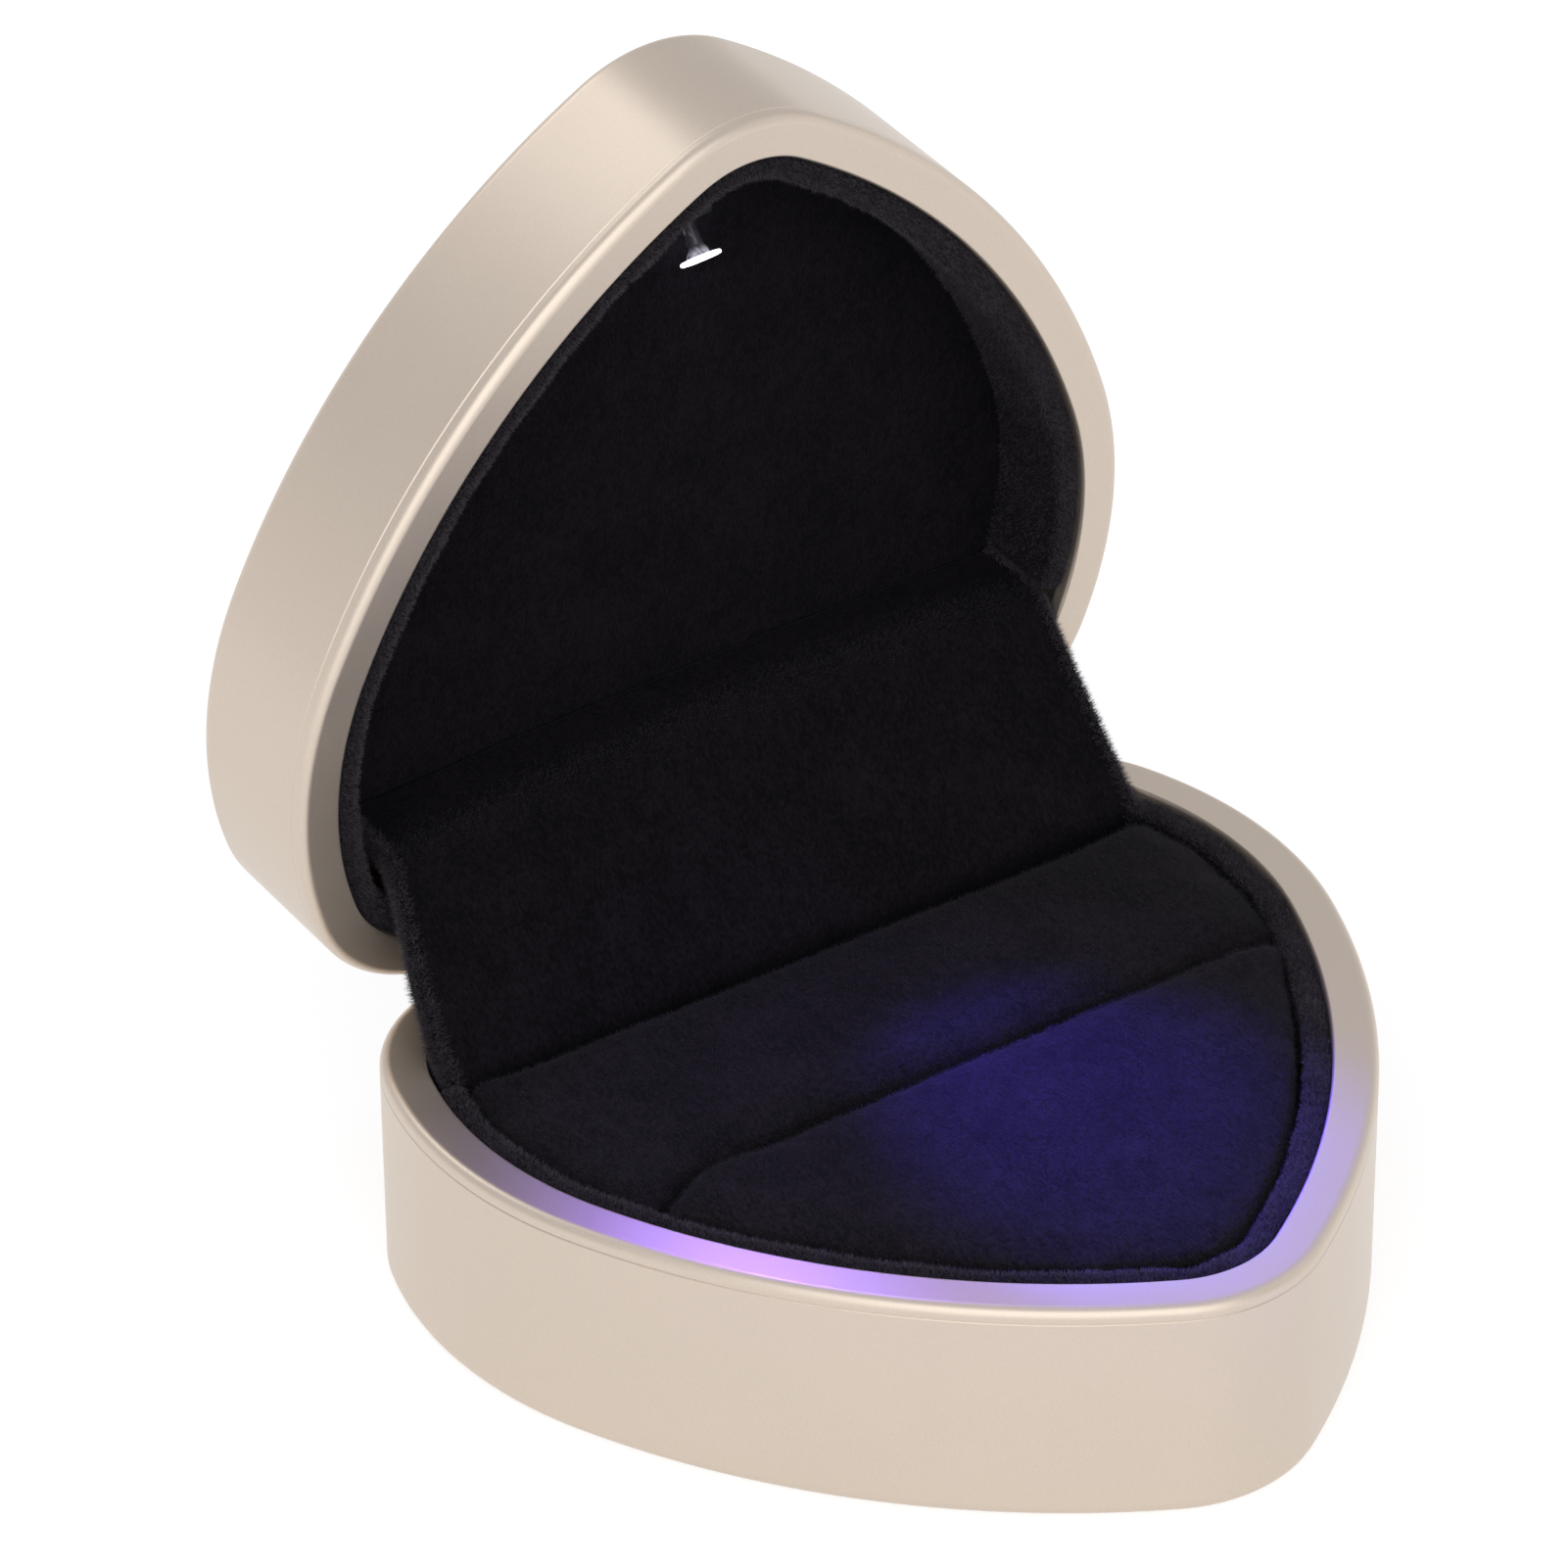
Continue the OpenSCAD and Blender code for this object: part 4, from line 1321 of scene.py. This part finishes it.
@dataclass
class LidPanel:
    """The velvet-covered board across the lid, crowned a little between its edges."""

    plan: Plan
    half: Half
    face: float  # depth of its face
    thickness: float = 1.0
    crown: float = 0.28  # how far its middle stands out
    uneven: Pair = (0.10, 15.0)  # height and length of its unevenness

    def build(self) -> None:
        """Builds the panel: rows drawn from its line to the middle, the front ones raised by a soft crown."""
        line = self.plan.line()
        middle = line.mean(0)
        ease = np.concatenate([[1.0, 0.995, 0.985], np.linspace(0.97, 0.04, 26)])[:, None]
        front = middle + ease[..., None] * (line - middle)
        height, reach = self.uneven
        crown = self.crown * (1 - ease ** 4) + height * waves(front, reach, 21) * (1 - ease ** 8)
        rear = self.face + self.thickness
        depth = np.concatenate([np.full(front.shape[:2], rear), self.face - crown])
        points = self.half.place(stacked(np.concatenate([front[::-1], front]), depth))
        surface = Surface(points, **self.half.ends(middle, (rear, float(depth[-1].mean()))))
        # the panel wears the darker copy of the velvet, painted shade
        settle(new_object("lid_panel_velvet", surface.mesh("lid_panel", 50)), Finish.VELVET_PAINTED_SHADE, self.half.body, "lid_panel")


# ---------------------------------------------------------------- lights and camera

def placing(right: Array, up: Array, back: Array, origin: Array) -> Matrix:
    """A 4 x 4 placing with these axes, from an origin in millimetres."""
    rows = np.stack([right, up, back, origin * MM], 1).tolist()
    return Matrix([*rows, (0, 0, 0, 1)])


def looking(origin: Array, target: Array) -> Matrix:
    """A placing at a point that looks along -z at another.

    Args:
        origin: where it stands, in millimetres.
        target: where it looks, not straight above or below.

    Returns:
        The placing, its x axis level.
    """
    back = (origin - target) / np.linalg.norm(origin - target)
    right = np.cross([0.0, 0.0, 1.0], back)
    right /= np.linalg.norm(right)
    return placing(right, np.cross(back, right), back, origin)


@dataclass(frozen=True)
class SoftBox:
    """A square soft light of the studio, its places and size in millimetres."""

    name: str
    origin: Triple
    target: Triple
    size: float
    watts: float

    def build(self) -> None:
        """Adds the light."""
        light = bpy.data.lights.new(self.name, "AREA")
        light.shape, light.size, light.energy = "SQUARE", self.size * MM, self.watts
        new_object(self.name, light).matrix_world = looking(np.array(self.origin), np.array(self.target))


@dataclass(frozen=True)
class Spot:
    """A soft spot just before the lamp's lit face."""

    name: str
    watts: float
    colour: Triple
    spread: float  # its full angle in degrees
    target: Triple  # where it points with the box open, in millimetres
    radius: float = 0.0018  # how soft its source is, in metres

    def build(self, origin: Array, body: str) -> None:
        """Adds the light.

        Args:
            origin: its place, in millimetres.
            body: the CAD body that it moves with.
        """
        light = bpy.data.lights.new(self.name, "SPOT")
        light.energy, light.color = self.watts, self.colour
        light.spot_size, light.spot_blend, light.shadow_soft_size = math.radians(self.spread), 1.0, self.radius
        obj = new_object(self.name, light)
        obj.matrix_world = looking(origin, np.array(self.target))
        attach(obj, body)


@dataclass
class Lamp:
    """The lamp in the lid: a lit disc on a short frosted stem, and the light it throws on the ring."""

    half: Half  # the lid
    y: float = -21.08  # the lit face's place with the lid shut
    depth: float = 6.0  # its depth inside the lid
    tilt: float = 45.0  # how far its face is turned from the lid's plane
    face_r: float = 1.8
    face_t: float = 0.28
    stem_r: float = 0.68
    stem_l: float = 3.9
    flare: float = 1.9  # how many times wider the stem is where it meets the face
    core: float = 0.05  # radius of the small flats that close both ends
    before: float = 0.4  # how far in front of the face its light starts
    # spots: its light on the cushions, and its wider light on the rim
    spots: tuple[Spot, ...] = (
        Spot("lamp_beam", 1.3, (0.09, 0.05, 1.0), 34, (4, -11, 21)),
        Spot("lamp_spill", 0.12, (0.28, 0.16, 1.0), 84, (-13, -23, 21)),
    )

    def along(self, distance: float) -> Array:
        """The point of the lamp's axis at a distance before the lit face, in the lid's own frame."""
        tilt = math.radians(self.tilt)
        return np.array([0.0, self.y + distance * math.sin(tilt), self.depth - distance * math.cos(tilt)])

    def _turned(self, corners: Sequence[Pair], radii: Sequence[float], count: int = 56) -> Surface:
        """Turns a section about the lamp's axis.

        Args:
            corners: radius and distance before the lit face of each corner.
            radii: how far each corner is rounded.
            count: points to a ring.

        Returns:
            The closed surface, in place.
        """
        section = eased_path(corners, radii, closed=False, steps=6)
        angle = np.linspace(0, 2 * math.pi, count, endpoint=False)
        origin = self.along(0)
        up = self.along(1) - origin
        across = np.array([0.0, up[2], -up[1]])
        ring = np.cos(angle)[:, None] * np.array([1.0, 0, 0]) + np.sin(angle)[:, None] * across
        points = self.half.place(origin + section[:, None, :1] * ring + section[:, None, 1:] * up)
        first, last = (self.half.place(self.along(distance)) for distance in section[[0, -1], 1])
        return Surface(points, first=first, last=last)

    def build(self) -> None:
        """Builds the disc, the stem and their light, and notes on the stem how far along it each point lies."""
        disc = self._turned(
            [(self.core, 0), (self.face_r, 0), (self.face_r, -self.face_t), (self.core, -self.face_t)],
            [0, 0.11, 0.11, 0])
        settle(new_object("lamp_face", disc.mesh("lamp_face")), Finish.LIT, self.half.body, "led_lens")
        mesh = self._turned(
            [(self.core, -0.2), (self.stem_r * self.flare, -0.2), (self.stem_r, -1.2), (self.stem_r, -self.stem_l),
             (self.core, -self.stem_l)], [0, 0.1, 0.4, 0.1, 0]).mesh("lamp_stem")
        face, foot = (self.half.place(self.along(distance)) for distance in (0, -self.stem_l))
        rise = (corner_array(mesh) - face) @ (foot - face) / self.stem_l ** 2
        mesh.attributes.new(RISE, "FLOAT", "POINT").data.foreach_set("value", rise)
        # the stem's glow is a painted glint of the lamp's light
        settle(new_object("lamp_stem", mesh), Finish.STEM_PAINTED_GLINT, self.half.body)
        for spot in self.spots:
            spot.build(self.half.place(self.along(self.before)), self.half.body)


@dataclass
class Studio:
    """The pale floor, the white surroundings, four soft boxes and the camera."""

    azimuth: float = -36.13  # the camera's direction round the box, in degrees
    elevation: float = 32.87  # its height above the table, in degrees
    roll: float = -0.44  # its turn about its own axis, in degrees
    distance: float = 676.91  # how far it stands from what it aims at, in millimetres
    aim: Pair = (-10.6, 37.25)  # what it aims at, in its own right and up axes
    forward: float = 9.12  # the aim's shift along y
    lens: float = 183.02  # focal length for a sensor 36 mm wide
    ambient: float = 0.85  # strength of the surroundings as light
    overhead: Triple = (0.66, 0.665, 0.69)  # the surroundings' colour high up
    floor_half: float = 2500.0
    floor_drop: float = 0.02  # how far the floor lies under the box, so that the two don't touch
    floor_tone: float = 0.50
    floor_glow: float = 0.66  # the light that brings it to white for the camera
    boxes: tuple[SoftBox, ...] = (
        SoftBox("key", (-420, -330, 560), (0, 0, 20), 420, 0.30),
        SoftBox("front", (-480, -800, 380), (0, 0, 15), 1400, 6.4),
        SoftBox("fill", (520, -260, 360), (0, 0, 30), 500, 0.20),
        SoftBox("back", (-120, 500, 535), (0, 30, 60), 270, 0.45),
    )

    def camera(self) -> None:
        """Places the camera: back along azimuth and elevation from its aim, then rolled."""
        a, e, r = np.radians([self.azimuth, self.elevation, self.roll])
        back = np.array([math.sin(a) * math.cos(e), -math.cos(a) * math.cos(e), math.sin(e)])
        right = np.array([math.cos(a), math.sin(a), 0.0])
        up = np.cross(back, right)
        target = self.aim[0] * right + self.aim[1] * up + np.array([0, self.forward, 0])
        right, up = math.cos(r) * right + math.sin(r) * up, math.cos(r) * up - math.sin(r) * right
        data = bpy.data.cameras.new("view")
        data.sensor_fit, data.sensor_width, data.lens = "HORIZONTAL", 36.0, self.lens
        data.clip_start, data.clip_end = 0.01, 50.0
        obj = new_object("view", data)
        obj.matrix_world = placing(right, up, back, target + back * self.distance)
        bpy.context.scene.camera = obj

    @staticmethod
    def _seen(sh: Shader) -> Socket:
        """1 for rays from the camera, from gloss and through glass."""
        rays = [sh.add("ShaderNodeLightPath", {}, {}, f"Is {k} Ray") for k in ("Camera", "Glossy", "Transmission")]
        return (rays[0] + rays[1] + rays[2]).clamped()

    def floor(self) -> None:
        """Lays a wide pale floor that shows white, and keeps the box's shadow."""
        corners = np.array([[-1.0, -1, 0], [1, -1, 0], [1, 1, 0], [-1, 1, 0]])
        points = corners * self.floor_half - [0, 0, self.floor_drop]
        obj = new_object("floor", make_mesh("floor", points, [np.array([[0, 1, 2, 3]])]))
        sh = Shader.named("floor_white")
        obj.data.materials.append(sh.principled({
            "Base Color": [self.floor_tone] * 3, "Roughness": 0.9, "Specular IOR Level": 0.0,
            "Emission Color": sh.mix(self._seen(sh), (0, 0, 0), [self.floor_glow] * 3), "Emission Strength": 1.0}))

    def world(self) -> None:
        """Makes surroundings that grow grey overhead, white for the camera and in gloss, and softer as light."""
        bpy.context.scene.world = bpy.data.worlds.new("surroundings")
        sh = Shader(bpy.context.scene.world, "ShaderNodeOutputWorld")
        way = sh.add("ShaderNodeTexCoord", {}, {}, "Generated")
        rise = sh.add("ShaderNodeSeparateXYZ", {}, {"Vector": way}, "Z")
        tone = sh.mix((rise * 4.0).clamped(), (1, 1, 1), self.overhead)
        strength = self._seen(sh) * (1 - self.ambient) + self.ambient
        sh.close(sh.add("ShaderNodeBackground", {}, {"Color": tone, "Strength": strength}))

    def build(self) -> None:
        """Sets up everything that isn't the box."""
        bpy.context.scene.view_settings.view_transform = "Standard"
        self.camera()
        self.floor()
        self.world()
        for box in self.boxes:
            box.build()


# ---------------------------------------------------------------- the box

@dataclass
class RingBox:
    """The whole box: moulded halves, lining, pads, flap, lamp and the CAD's own hardware."""

    outline: HeartOutline = field(default_factory=HeartOutline)
    base_h: float = 20.8
    lid_h: float = 14.9
    lid_gap: float = 0.3  # what is left between the rims when it is shut
    tray_top: float = 9.2  # height of the tray's face over the table
    pad_inset: float = 6.3
    pad_gap: float = 1.9  # what is left between the rear pad and the flap's middle
    flap_y: float = 25.52  # the y of the flap's middle in the base
    flap_t: float = 1.2
    flap_lead: float = 1.2  # how much further forward the flap lies in the lid
    bend_drop: float = 1.2  # how far below the base's rim the flap bends
    fold_rise: float = 2.4  # how far above the lid's rim it bends again
    panel_depth: float = 8.9
    panel_inset: float = 3.15  # the panel's distance from the outline
    panel_lap: float = 0.9  # how far it reaches past the flap's middle

    def __post_init__(self) -> None:
        """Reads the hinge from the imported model, and sets out the two halves."""
        hinge = next(j for j in frame["joints"] if j["name"] == "lid_hinge")
        pin = [v / MM for v in hinge["pos_m"]]
        self.swing = Swing(pin[1], pin[2], math.radians(hinge["range_deg"][1]))
        self.base = Half("base", self.base_h, self.base_h, -1.0)
        self.lid = Half("lid", self.lid_h, self.base_h + self.lid_gap, 1.0, self.swing)
        self.foot = self.base_h - self.tray_top

    def mouldings(self) -> None:
        """Builds the shells and rim frames."""
        for half in (self.base, self.lid):
            moulded = MouldedHalf(half, self.outline)
            moulded.shell()
            moulded.frame()

    def lining(self) -> None:
        """Builds the strips inside both rims and the panel in the lid."""
        behind, strips = self.flap_y - self.flap_t, []
        for half, top, foot, back, wall, seed in (
                (self.base, 0.50, self.foot, (behind + 0.5, behind + 0.3), 3.0, 31),
                (self.lid, 0.60, self.panel_depth, (31.5, behind - 1.0), 14.0, 41)):
            pile = Pile(0.42, 0.045, tuple(0.35 * half.out()), 0.45, 51 if half is self.base else 52)
            strips.append(LiningStrip(half, self.outline, top, foot, back, seed, wall, pile))
        velvets = [strip.build() for strip in strips]
        plan = Plan(self.outline, self.panel_inset, None, self.flap_y - self.flap_lead + self.panel_lap, 0.6)
        LidPanel(plan, self.lid, self.panel_depth).build()
        for strip, velvet in zip(strips, velvets):
            strip.fibres(velvet)

    def pads(self) -> None:
        """Builds the two pads that grip the ring."""
        slit = Slit()
        front = Plan(self.outline, self.pad_inset, None, slit.y - slit.half, 1.9, slit)
        back = self.flap_y - self.pad_gap
        rear = Plan(self.outline, self.pad_inset, slit.y + slit.half, back, 0.6, slit, slant=-0.024)
        for name, plan, facing, lip, roll, seed in (
                ("ring_pad_front", front, 1.0, 0.45, 0.7, 11), ("ring_pad_rear", rear, -1.0, -0.35, 1.8, 12)):
            pile = Pile(0.40, 0.045, (0.0, -0.2, 0.1), 0.35, seed + 50)
            Cushion(name, plan, self.base, self.foot, facing, lip, roll, seed, pile).build()

    def flap(self) -> None:
        """Builds the flap: up behind the rear pad, over the hinge, and along a ledge to the lid's panel."""
        y, rim = self.flap_y - self.flap_lead, self.lid.rim_z
        ledge = self.swing.opened(np.array([[0, y, rim + self.fold_rise], [0, y, rim + self.panel_depth - 0.3]]))
        stand = [[self.flap_y, self.tray_top], [self.flap_y, self.base_h - self.bend_drop]]
        HingeFlap(np.concatenate([stand, ledge[:, 1:]])).build()

    def hardware(self) -> None:
        """Dresses the CAD nodes that show as they are."""
        finishes = {Slot.PLASTIC: Finish.PLASTIC, Slot.STEEL: Finish.STEEL, Slot.BOARD: Finish.BOARD}
        slots = {part["node"]: Slot(part["material_slot"]) for part in frame["record"]["subparts"]}
        for name, node in frame["nodes"].items():
            if not node.hide_render:
                dress(node, finishes[slots[name]])


def main() -> None:
    """Builds the studio and the box."""
    logging.basicConfig(level=logging.INFO, format="%(name)s: %(message)s")
    Studio().build()
    box = RingBox()
    box.mouldings()
    box.lining()
    box.pads()
    box.flap()
    Lamp(box.lid).build()
    box.hardware()


if __name__ == "__main__":
    main()
